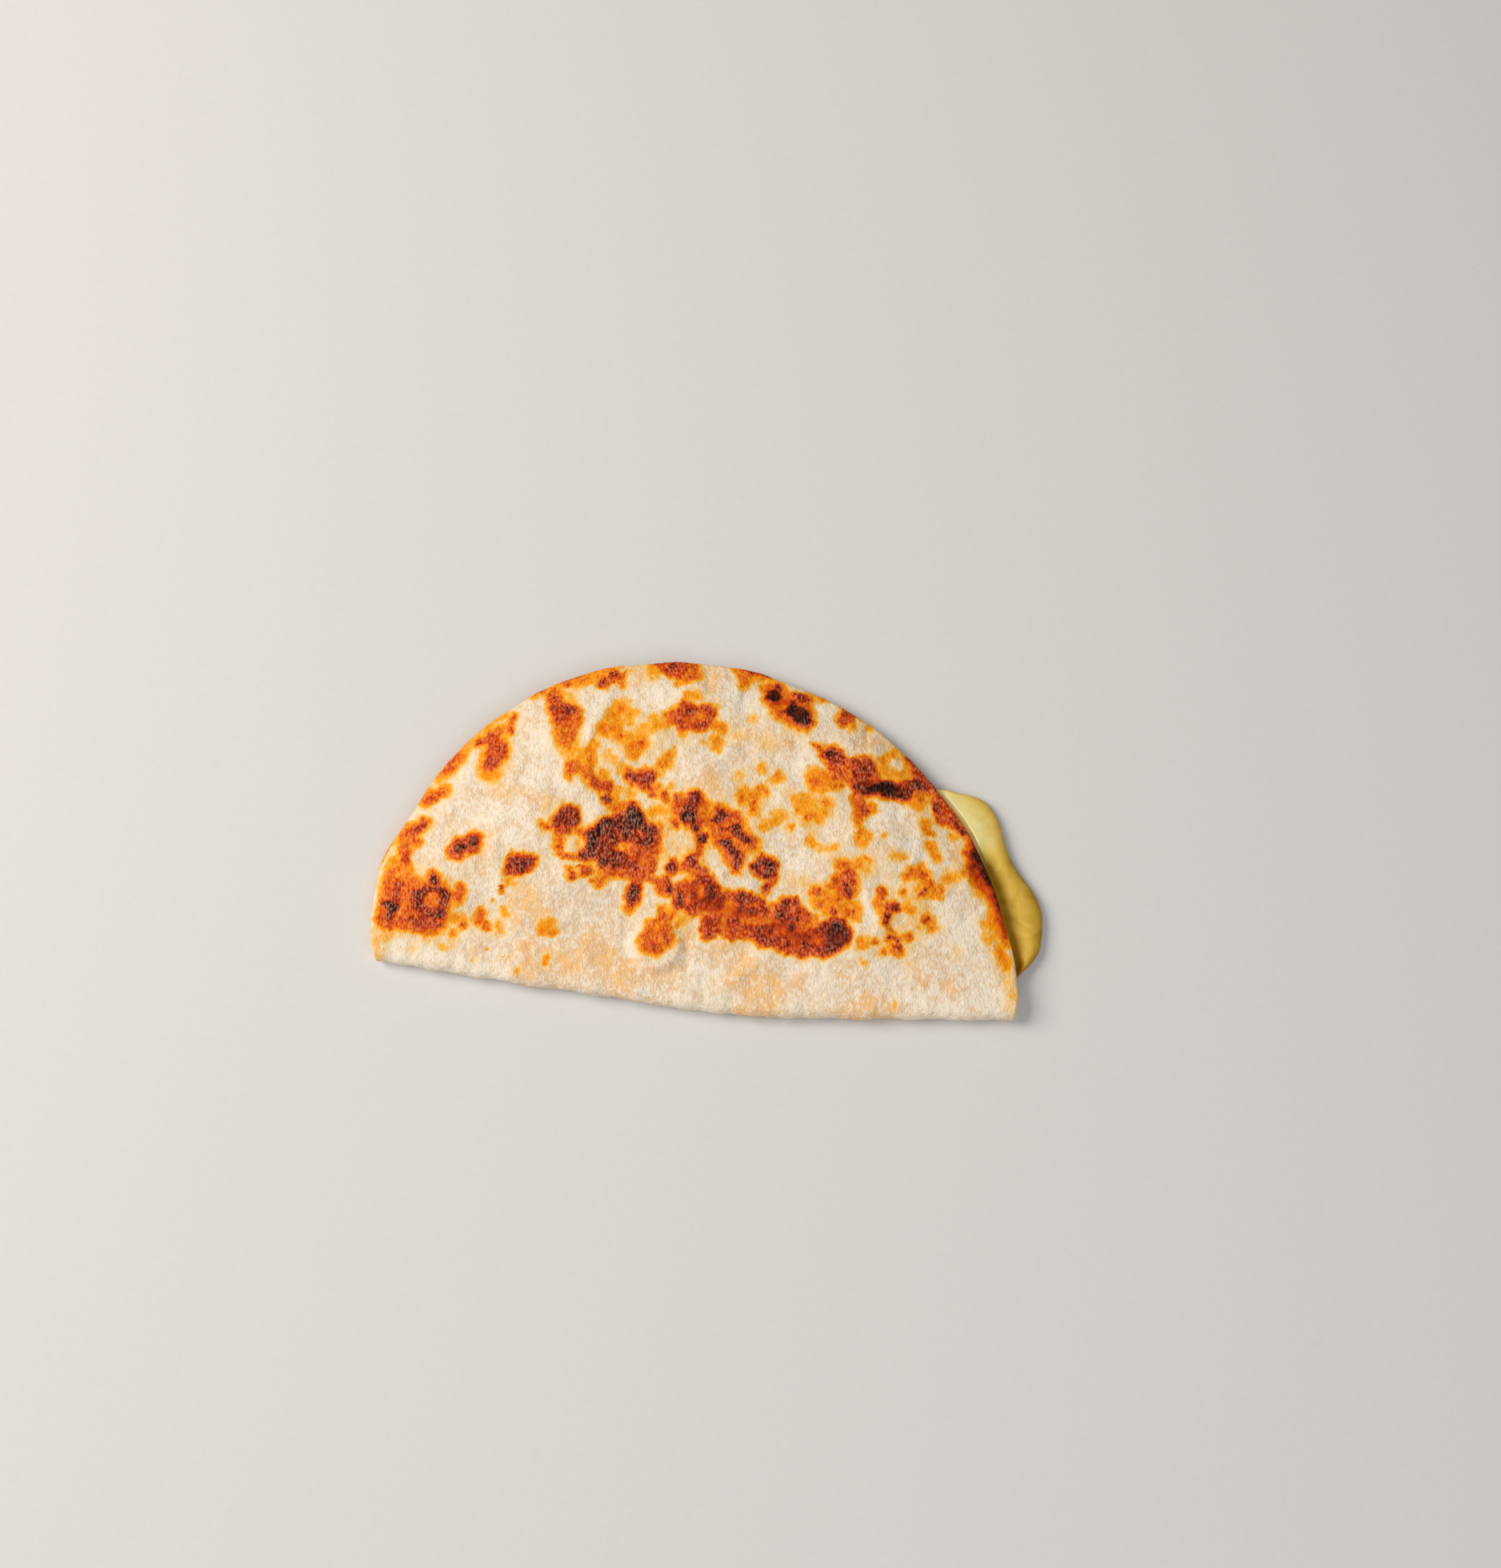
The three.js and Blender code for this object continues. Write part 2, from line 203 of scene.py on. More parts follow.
# Marks on the upper flap, in millimetres in the frame. A patch is a closed outline, x, y, x, y and
# on; a streak is (x, y, x, y, half width); a spot is (x, y, radius).
PATCHES: dict[Toast, tuple[tuple[float, ...], ...]] = {
    Toast.STRAW: (
        (-36, 35, -33, 38.5, -30, 37, -28, 33, -22, 34, -19, 31, -18, 27, -21, 24, -23, 21,
         -29, 21, -33, 24, -38, 26, -38.5, 29.5),
        (-20, 9, -14, 12, -9, 13, -3, 8, 0, 9, 5, 8, 5, 3, -1, -1, -1, -6, -8, -8, -14, -10,
         -16, -3, -19, 4),
        (-24, -10, -14, -6, -3, -7, -1, -12, -9, -14, -18, -16),
        (-102, -21, -99, -30, -101, -42, -96, -43, -93, -41, -84, -42, -78, -42, -77, -30,
         -78, -23, -86, -20, -92, -20, -96, -8, -101, -16),
        (50, -16, 58, -10, 68, -8, 70, -14, 66, -18, 68, -24, 60, -31, 52, -32, 47, -30, 53, -24),
        (22, 4, 24, 14, 30, 16, 35, 13, 35, 8, 30, 4),
        (4, 10, 6, 17, 13, 16, 14, 10, 12, 6, 8, 8),
        (44, -2, 49, -3, 49, -9, 44, -9),
        (-49, -3, -41, -3, -40, -12, -46, -13, -48, -9),
    ),
    Toast.HONEY: (
        (25.6, 14, 28.4, 14.2, 30.4, 12.8, 32.4, 13.4, 34.6, 12.2, 33.4, 11.2, 32, 10.6,
         33.2, 8.8, 32.4, 6.8, 30.6, 5.8, 28.6, 6, 26, 5.2, 23.4, 6, 23.2, 8.6, 24.4, 10,
         22.6, 11, 22.4, 12.6, 24, 13.2),
        (16, 4.6, 17, 7, 19, 8.4, 20.8, 8, 21.2, 6.4, 19.6, 5.6, 17.8, 4.2),
        (47.4, 27, 50, 29.8, 53, 29.4, 55.6, 28.4, 57.6, 25.4, 56.4, 22.8, 50, 22.6, 47, 23.6),
    ),
    Toast.AMBER: (
        (-29.5, 24, -27, 26, -24.5, 26.5, -23.3, 25, -24.5, 23, -26, 22, -27, 20.5, -29, 21),
        (0.8, 53.5, 2.2, 50.5, 2.4, 48, 3.2, 46.8, 4.2, 47.8, 4.4, 49.5, 6.4, 49, 8.5, 50,
         11, 50.5, 13, 50, 12, 52),
        (4.8, 11, 5.6, 14, 7.6, 14.6, 9, 13, 11, 14.4, 13.4, 15, 14, 13.4, 12.4, 11.6, 11, 10,
         11.6, 6.5, 10, 5.5, 9.8, 8.5, 8.2, 10, 6, 9.6),
        (26.6, 21.4, 28.6, 22.4, 31, 22, 33, 21, 35.6, 20, 36.8, 18, 34.6, 16.6, 31, 15.4,
         28.6, 15.6, 26.8, 17, 26.4, 19.4),
        (43, 5, 45.4, 4.6, 46.8, 3.4, 46, 1.6, 45, 0.2, 43.4, 0.4, 42.4, 2),
        (57.6, -7.6, 59.4, -5.8, 61.4, -5.4, 63.2, -4.2, 64.4, -5, 65.4, -6.4, 66.4, -8,
         67.4, -10.2, 69.4, -9.6, 70, -11.4, 69.4, -13.4, 67.4, -13.4, 65, -13, 62.8, -13.4,
         62.4, -11.6, 63.4, -10.2, 62.6, -8.6, 60.6, -8, 58.8, -8.8),
        (84.8, -17, 86, -15, 88, -14.6, 90, -19, 91.4, -23, 91, -25.4, 89.6, -24.8, 88, -22.4,
         86.6, -20.6, 85, -19.4),
        (31, -14, 36, -15.5, 40, -13, 43.6, -13.8, 43, -16.5, 45.6, -19, 45.6, -22.5, 42, -22,
         38, -22.4, 34, -21, 32.4, -19.6, 31.2, -17.5),
    ),
    Toast.ORANGE: (
        (-97.5, -20, -94, -20.5, -91.5, -22, -89.5, -23, -87, -24, -85.5, -24.5, -84.8, -21,
         -83, -21.2, -81.5, -23.5, -79.5, -25, -78.8, -28, -78.5, -32, -79, -36, -79.5, -38.5,
         -81.5, -39, -84, -40.5, -86, -39.5, -88.5, -38.8, -91, -39, -94, -38.3, -96, -39.5,
         -98.5, -38.5, -100, -36, -99.5, -33, -99, -28, -98.5, -24),
        (-50.5, 35.8, -48, 35.5, -45.8, 33.8, -45.3, 30.5, -45.6, 28, -46, 25.5, -46.8, 22.5,
         -48, 20.8, -49.4, 21.8, -50.2, 24.5, -51.6, 27, -53.3, 29.2, -53, 31),
        (-47.6, 17, -45.5, 17.6, -44.6, 15.5, -45, 12.5, -46, 12, -47.3, 13.5),
        (-19.2, -33.8, -18, -31.8, -16.2, -31.2, -14.4, -31.6, -13.5, -30, -14.6, -29.6,
         -16.4, -30.4, -17.2, -29.2, -15.4, -28.4, -14, -28.6, -14.6, -26.2, -14.2, -24.8,
         -13, -25, -12.6, -27, -11, -26, -10.4, -24.8, -10, -25.6, -10.8, -28, -10.4, -31,
         -9.6, -33.4, -10.4, -35.6, -12, -36.6, -12.8, -38, -14.4, -38.6, -16.4, -38,
         -18.6, -37.4, -19.4, -35.8),
        (-2.4, 5.5, -1, 7.4, 2, 8, 4.5, 7, 6.5, 6, 8.2, 4, 8, 1, 10.6, 0.4, 12.6, -1.6, 13, -4,
         10.5, -4.4, 9, -6, 9.2, -9, 8.4, -12, 6.4, -12, 4.4, -9.5, 2.8, -6.4, 0.4, -4.2,
         -0.8, -2, -1.8, 0, -2, 2),
        (-19.4, 35.2, -17.4, 36, -16, 34, -16.4, 32, -18.4, 32),
        (40.8, 17, 42.6, 15.4, 43.8, 13.6, 45.2, 12.4, 45.4, 10.6, 44.4, 9.4, 43.6, 7, 43.2, 5,
         42.2, 6, 41.4, 8.6, 40.8, 11.4, 39.8, 14),
        (37.4, -6, 39.4, -5.6, 41, -6.2, 42.6, -8, 43.4, -10, 44.4, -12, 44.2, -14.4, 43, -16,
         41, -16.2, 39.6, -15, 38, -13.2, 36.4, -12, 37, -10.6, 38.8, -9.2, 38.8, -7.8),
        (76.4, 4, 78.6, 4.6, 81.6, 0, 84.6, -6, 88, -13, 89.6, -18, 91, -22.6, 89, -21,
         87.4, -17, 85, -13.4, 83, -9.8, 80.6, -8.6, 78.6, -7.4, 77.4, -5, 76.6, -3.4, 77, -1),
        (9, 48, 11, 41.6, 14.6, 38.6, 20, 35.4, 24, 34.8, 26.4, 36.6, 25.6, 39.6, 24.4, 42.2,
         24.8, 45, 21.6, 46.8, 18, 46.2, 15.4, 48.6, 12.6, 49),
    ),
    Toast.RUST: (
        (-26.5, -7, -22, -7.6, -18.6, -7.6, -16.8, -8, -17, -10, -17.8, -14.4, -20, -15,
         -24, -15.5, -26.4, -14),
        (-72.8, 24.5, -71, 25.5, -70.3, 23.5, -68.5, 22.5, -67, 21, -66.3, 19, -66.2, 16.5,
         -67.5, 14.8, -69, 13, -70.3, 11.8, -72, 11.9, -73.2, 13, -72.5, 15.5, -72.2, 17.5,
         -72.4, 19.5, -72.8, 21, -73.2, 22.6),
        (-65.6, 31, -65, 29, -65.2, 26.5, -65.8, 24.6, -67.2, 24.6, -67.8, 26.5, -67, 29.5),
        (-55.8, 40, -54, 41, -52.8, 38.5, -51.5, 36, -49.5, 35, -47.5, 34.4, -46.9, 33,
         -48.5, 31.8, -50.5, 31, -51.5, 29.5, -53, 30, -54.5, 32, -55.8, 33.2, -55.5, 35.5,
         -56.4, 38.2),
        (-41.5, 45, -40, 45.6, -38.2, 45.2, -37.5, 47, -36, 48, -34.3, 47.2, -34, 45.5,
         -35.5, 44.8, -37.5, 43.5, -39, 42, -41, 41.8, -41.8, 43.5),
        (-26.5, 54.5, -25.2, 51.8, -23, 50.2, -20.5, 48.6, -18, 47.6, -16, 47.2, -15.2, 49.5,
         -14.6, 52.5, -15.2, 55, -20, 56, -25, 56),
        (-15.6, 38, -14, 39.6, -12.2, 39, -10, 38.2, -8.6, 38.4, -6.6, 39.2, -5.2, 38.6,
         -4, 37, -5, 35.4, -5.8, 33.2, -6.4, 31.4, -8, 30.6, -10.4, 30.4, -13, 30.4, -15, 31,
         -16, 33, -18, 34, -18.6, 35.4, -16.4, 36.4),
        (-40.2, 11.8, -39, 12.8, -37.8, 12.2, -36.5, 11.6, -35, 12.4, -33.6, 12.2, -33.2, 10.8,
         -34, 9.6, -35.2, 8.8, -36.8, 8.6, -38, 9.6, -39.6, 9.8),
        (-29.6, 16.8, -28, 16.8, -26.6, 16, -25, 16.4, -23.2, 17.2, -21, 17, -20, 15.8,
         -20, 13.4, -21.5, 12.6, -22, 11.2, -23.6, 10.6, -25.2, 11.4, -26, 12.6, -27.2, 11.4,
         -28.6, 12.6, -28.8, 14.6),
        (-80.2, -12.5, -78.5, -9.8, -76, -9.6, -74, -8.4, -72, -7.6, -70.8, -8.8, -70.6, -11,
         -71.2, -13.2, -73.2, -14, -75, -14.8, -77, -16.8, -79, -16, -80, -14.5),
        (-62.4, -17.6, -62, -15.4, -60.6, -13.4, -58, -13, -55, -12.8, -53.8, -13.2,
         -53.6, -15.4, -55, -17.4, -57.6, -18.8, -60, -19.4, -61.8, -18.8),
        (-48.4, -3.6, -44, -3, -44.2, -5.4, -46, -6.2, -48, -5.6),
        (-9.6, 10.2, -8.4, 11.2, -7, 12, -5.8, 11.6, -5.2, 10, -5.4, 8, -6.4, 6.4, -5.2, 5,
         -4.6, 3, -4.8, 0.6, -5.8, -1, -6.8, -0.6, -8, 0.8, -10, 1.4, -11.6, 2.6, -11.8, 4,
         -10.8, 4.8, -10.2, 6.6, -10.4, 8.6),
        (-15, -15.8, -13.6, -14.8, -12.2, -15.6, -11.6, -17.6, -10.4, -19, -11, -20.6,
         -13, -21, -15.4, -20.4, -16, -18.4),
        (15.6, -15.4, 16.6, -13.6, 18, -13.8, 18.2, -16, 17.4, -17.6, 16.2, -17),
        (34, 44.6, 36, 44.2, 38.2, 43, 39.6, 41.8, 38.6, 40.6, 38, 38.8, 36.4, 38, 35, 37.4,
         33.6, 38.4, 33, 39.6, 34.2, 41, 34.4, 42.4),
        (26.6, 30, 28.5, 30, 30.4, 28.4, 33, 30, 35.4, 29, 36.8, 27.6, 38.4, 26.8, 40.6, 28,
         43.4, 28, 45.4, 26.4, 46.4, 24.6, 47.6, 22.2, 50, 21.4, 54, 21.4, 57, 22.8, 57, 17.6,
         55.6, 14.8, 53.6, 15.8, 48, 15.8, 45, 15.8, 42.4, 15, 40, 18, 37.6, 19.6, 34, 20,
         32.6, 22.6, 31, 25.4, 29.6, 27.4),
        (55.4, 30, 58.5, 28.8, 61, 27, 64, 24.2, 66.5, 21.6, 69, 18.2, 71, 15.6, 73, 12.8,
         75, 10.2, 78.6, 5.2, 79, 3.2, 77, 3.6, 75.6, 6.4, 74, 8.4, 71.6, 9.6, 69, 9,
         67, 10.6, 65.4, 12.4, 65, 15, 64.4, 18, 62, 19.6, 60, 19.6, 58, 21, 57.6, 23.4,
         58, 25.8, 56, 27.8),
        (50.2, -13.4, 51.6, -11.8, 52.8, -12.4, 53.4, -14, 52.6, -15.8, 51, -15.6),
        (53, -17, 54.2, -16.2, 56, -16, 57.6, -16.8, 56.8, -18.6, 55.4, -19, 55, -21,
         54.8, -23, 53.4, -23.2, 52.6, -21.6, 53, -19.6),
    ),
    Toast.CHESTNUT: (
        (-9.8, -17.8, -8, -16.6, -6, -16, -4.2, -15.4, -3.6, -13.6, -2, -14.6, -0.4, -13.8,
         1, -15, 2.6, -16.4, 4.2, -18.4, 8, -18.6, 9.4, -17.2, 11, -18, 12.6, -17.8,
         14, -19.4, 16, -19.2, 17, -20.6, 18, -21.4, 20, -22, 20.6, -20.6, 21.6, -19.6,
         22, -18.2, 25, -18.4, 26.6, -18, 27.6, -20, 28.8, -20.6, 30.6, -22, 31.6, -23.4,
         30.6, -24.8, 28.8, -25, 29.6, -26.4, 31.4, -26, 32.6, -25.6, 34, -24.6, 36, -23.8,
         38, -22.8, 40, -22.8, 42, -23.6, 43.4, -25.6, 43.8, -28, 42.8, -30.4, 40.6, -32,
         38.6, -33.8, 35, -34.4, 32, -34, 30.2, -35, 28, -33.8, 25.4, -34, 23, -33.4,
         20.6, -32.8, 18, -32.6, 16, -32, 14, -31, 11.6, -30.8, 9.4, -31.6, 7.4, -32,
         5.8, -31, 4, -30, 3, -30.6, 2.2, -32, 0.8, -32.6, -0.8, -32, -1.4, -30.4, -1.2, -28,
         -1.4, -26, -2.4, -24.8, -4, -25.6, -6, -25.4, -7.5, -24, -9.5, -24.3, -10.5, -22.5,
         -10, -19.4),
    ),
    Toast.BROWN: (
        (-61.8, -16.8, -61, -14.8, -60, -13.9, -58.5, -13.6, -57, -14, -55.6, -13.5,
         -54.4, -13.4, -54, -14.4, -54.3, -15.6, -55.3, -16.8, -56.8, -17.6, -58.4, -18.4,
         -60, -18.7, -61.4, -18.1),
        (78, 3.4, 79.4, 4.4, 83.4, 0.4, 86.6, -5, 90.4, -12.6, 88, -14.4, 84.6, -9.6, 82.4, -6,
         80, -3.6, 78.4, -2, 77.4, 0.6),
        (-49.8, -3.5, -49.5, -1.5, -48.3, 1.2, -46.8, 2.6, -45, 3, -43, 2.6, -42, 0.8,
         -42, -1.8, -43.2, -2.6, -44.5, -2.8, -46, -3.4, -48, -3.8),
        (-39.5, -3.8, -37.2, -3.5, -36.4, -1.8, -34.8, -0.6, -33.8, 0.8, -32, 1.4, -30, 2.2,
         -28.5, 3.4, -27, 5.1, -25.8, 5.6, -24.5, 4.8, -22.6, 2.8, -22, 0.6, -20, 0.2,
         -18.2, -1.6, -17.2, -4, -17.6, -6.4, -19, -8, -20.8, -7.8, -22.6, -7, -24, -6.6,
         -25, -5.4, -26, -6.4, -27.5, -6.2, -29, -5.4, -31, -8.2, -28.8, -9, -27, -8.6,
         -26, -9.8, -26, -12, -26.6, -14, -31, -14.4, -34, -13.8, -35, -12.4, -37, -12.2,
         -38.6, -12.8, -40.2, -12, -40.6, -10.4, -38.6, -9.6, -38.4, -6.4, -40.4, -5.4),
        (-24.8, -20, -23.5, -18.8, -21.8, -18.6, -20.9, -20, -20.8, -22, -21.6, -23.8,
         -22.8, -24.9, -24.2, -24.4, -25, -22.6),
        (-8.2, -9, -6.4, -8, -5, -8.8, -5, -11.4, -6.6, -11.6, -7.6, -10.6),
        (-13.8, -12.6, -13, -10.8, -11.6, -10.4, -10.4, -11.6, -10.4, -13.2, -12, -14,
         -13.4, -13.6),
        (31, 28.6, 32.6, 29.6, 34.6, 28.6, 36.4, 27.4, 37, 25.6, 35.8, 24.4, 34.2, 24.2,
         32.4, 24.8, 31.4, 26.4),
        (38.6, 26.4, 40.2, 27.4, 42.4, 27.2, 44.4, 26, 45.4, 24.4, 45, 22.4, 44.4, 20.6,
         42.4, 20, 40.4, 20.6, 39.4, 22.6, 40, 24.4),
        (57, 22.4, 58.4, 23.8, 60.4, 24, 62, 22.4, 63.4, 20.8, 61.6, 19.8, 59.8, 19.6,
         58, 19.6, 56.8, 20.8),
    ),
    Toast.UMBER: (
        (-5.4, -2, -4.6, -1, -3, -1.2, -2.4, -2.4, -2.8, -3.6, -4.2, -4, -5, -3.2),
        (-1.8, 3.2, -1, 4, -0.4, 6, 1, 6.6, 2.6, 6.4, 3.5, 5.6, 3, 4.8, 1.8, 4.2, 0.6, 3,
         -0.4, 2.8, -1.2, 2.8),
        (0.8, 0.6, 1.8, 0.6, 2.8, 1.2, 4, 2, 5.2, 2.4, 6.6, 2.6, 7.2, 1.4, 7.4, -0.2,
         8.6, -0.8, 10.4, -1, 11, -1.8, 10.8, -2.6, 9.6, -2.6, 8.4, -3, 7.4, -2,
         6.2, -1.4, 5.4, -1, 5, 0.4, 4.6, 1.4, 3.4, 1.2, 2.2, 0.2),
        (1.1, -3.2, 2, -2.2, 3.6, -2.4, 4.8, -3.4, 6, -4.8, 7.4, -5.6, 8, -7, 8, -8.6,
         7.8, -10.2, 7, -11, 6.2, -10.2, 6.4, -8.8, 5.4, -7.6, 4.4, -6.2, 3.4, -5, 1.8, -4),
        (14.4, -5.8, 15.6, -7, 17.4, -7.2, 18.6, -8, 19.2, -10, 17.8, -12.4, 15.4, -12.6,
         13.6, -12, 12.2, -10.6, 12.2, -9, 13.2, -7.4, 13.8, -5.9),
        (36.4, -26.8, 37.8, -25.2, 38.8, -23.9, 40.4, -23.8, 42, -24.8, 42.6, -26.6, 42.8, -29,
         41.6, -30.6, 39.8, -31.8, 38, -33, 36, -33.2, 36.2, -31.6, 36.6, -30.2, 36.6, -28.4),
        (-38.4, -4.4, -36.8, -3.6, -34.6, -0.6, -32.6, 0.6, -30, 0.6, -28.4, 2.6, -26.6, 4.6,
         -25, 4.6, -23.4, 2.4, -22.6, -0.4, -19.8, -0.8, -18.4, -3.6, -18.4, -6.2, -20, -7,
         -23, -6.2, -25, -3.6, -27.4, -5.2, -29.4, -3.6, -31.4, -5.4, -34, -4, -36, -6.6,
         -35.4, -10.8, -37.4, -11, -38, -8),
    ),
    Toast.CHAR: (
        (10.6, 45.6, 11.6, 46.4, 13.2, 46.9, 14.2, 45.8, 15.5, 44.8, 14, 43, 12.4, 42.6,
         11, 43.8),
        (17.6, 40.6, 18.4, 42, 19.8, 43.2, 20.4, 42, 22, 42.2, 23.2, 40.4, 24.6, 38.4,
         25.2, 37.2, 24.6, 36.2, 22.6, 36, 21, 36.4, 19.4, 38, 17.6, 39, 15.6, 39.4, 16, 40),
        (43.6, 17.8, 45.4, 19.2, 46.8, 20.4, 49.4, 20.8, 52.8, 20.4, 53.4, 18.6, 52.8, 17.2,
         50, 17, 47.4, 17.4, 45.2, 17),
    ),
}
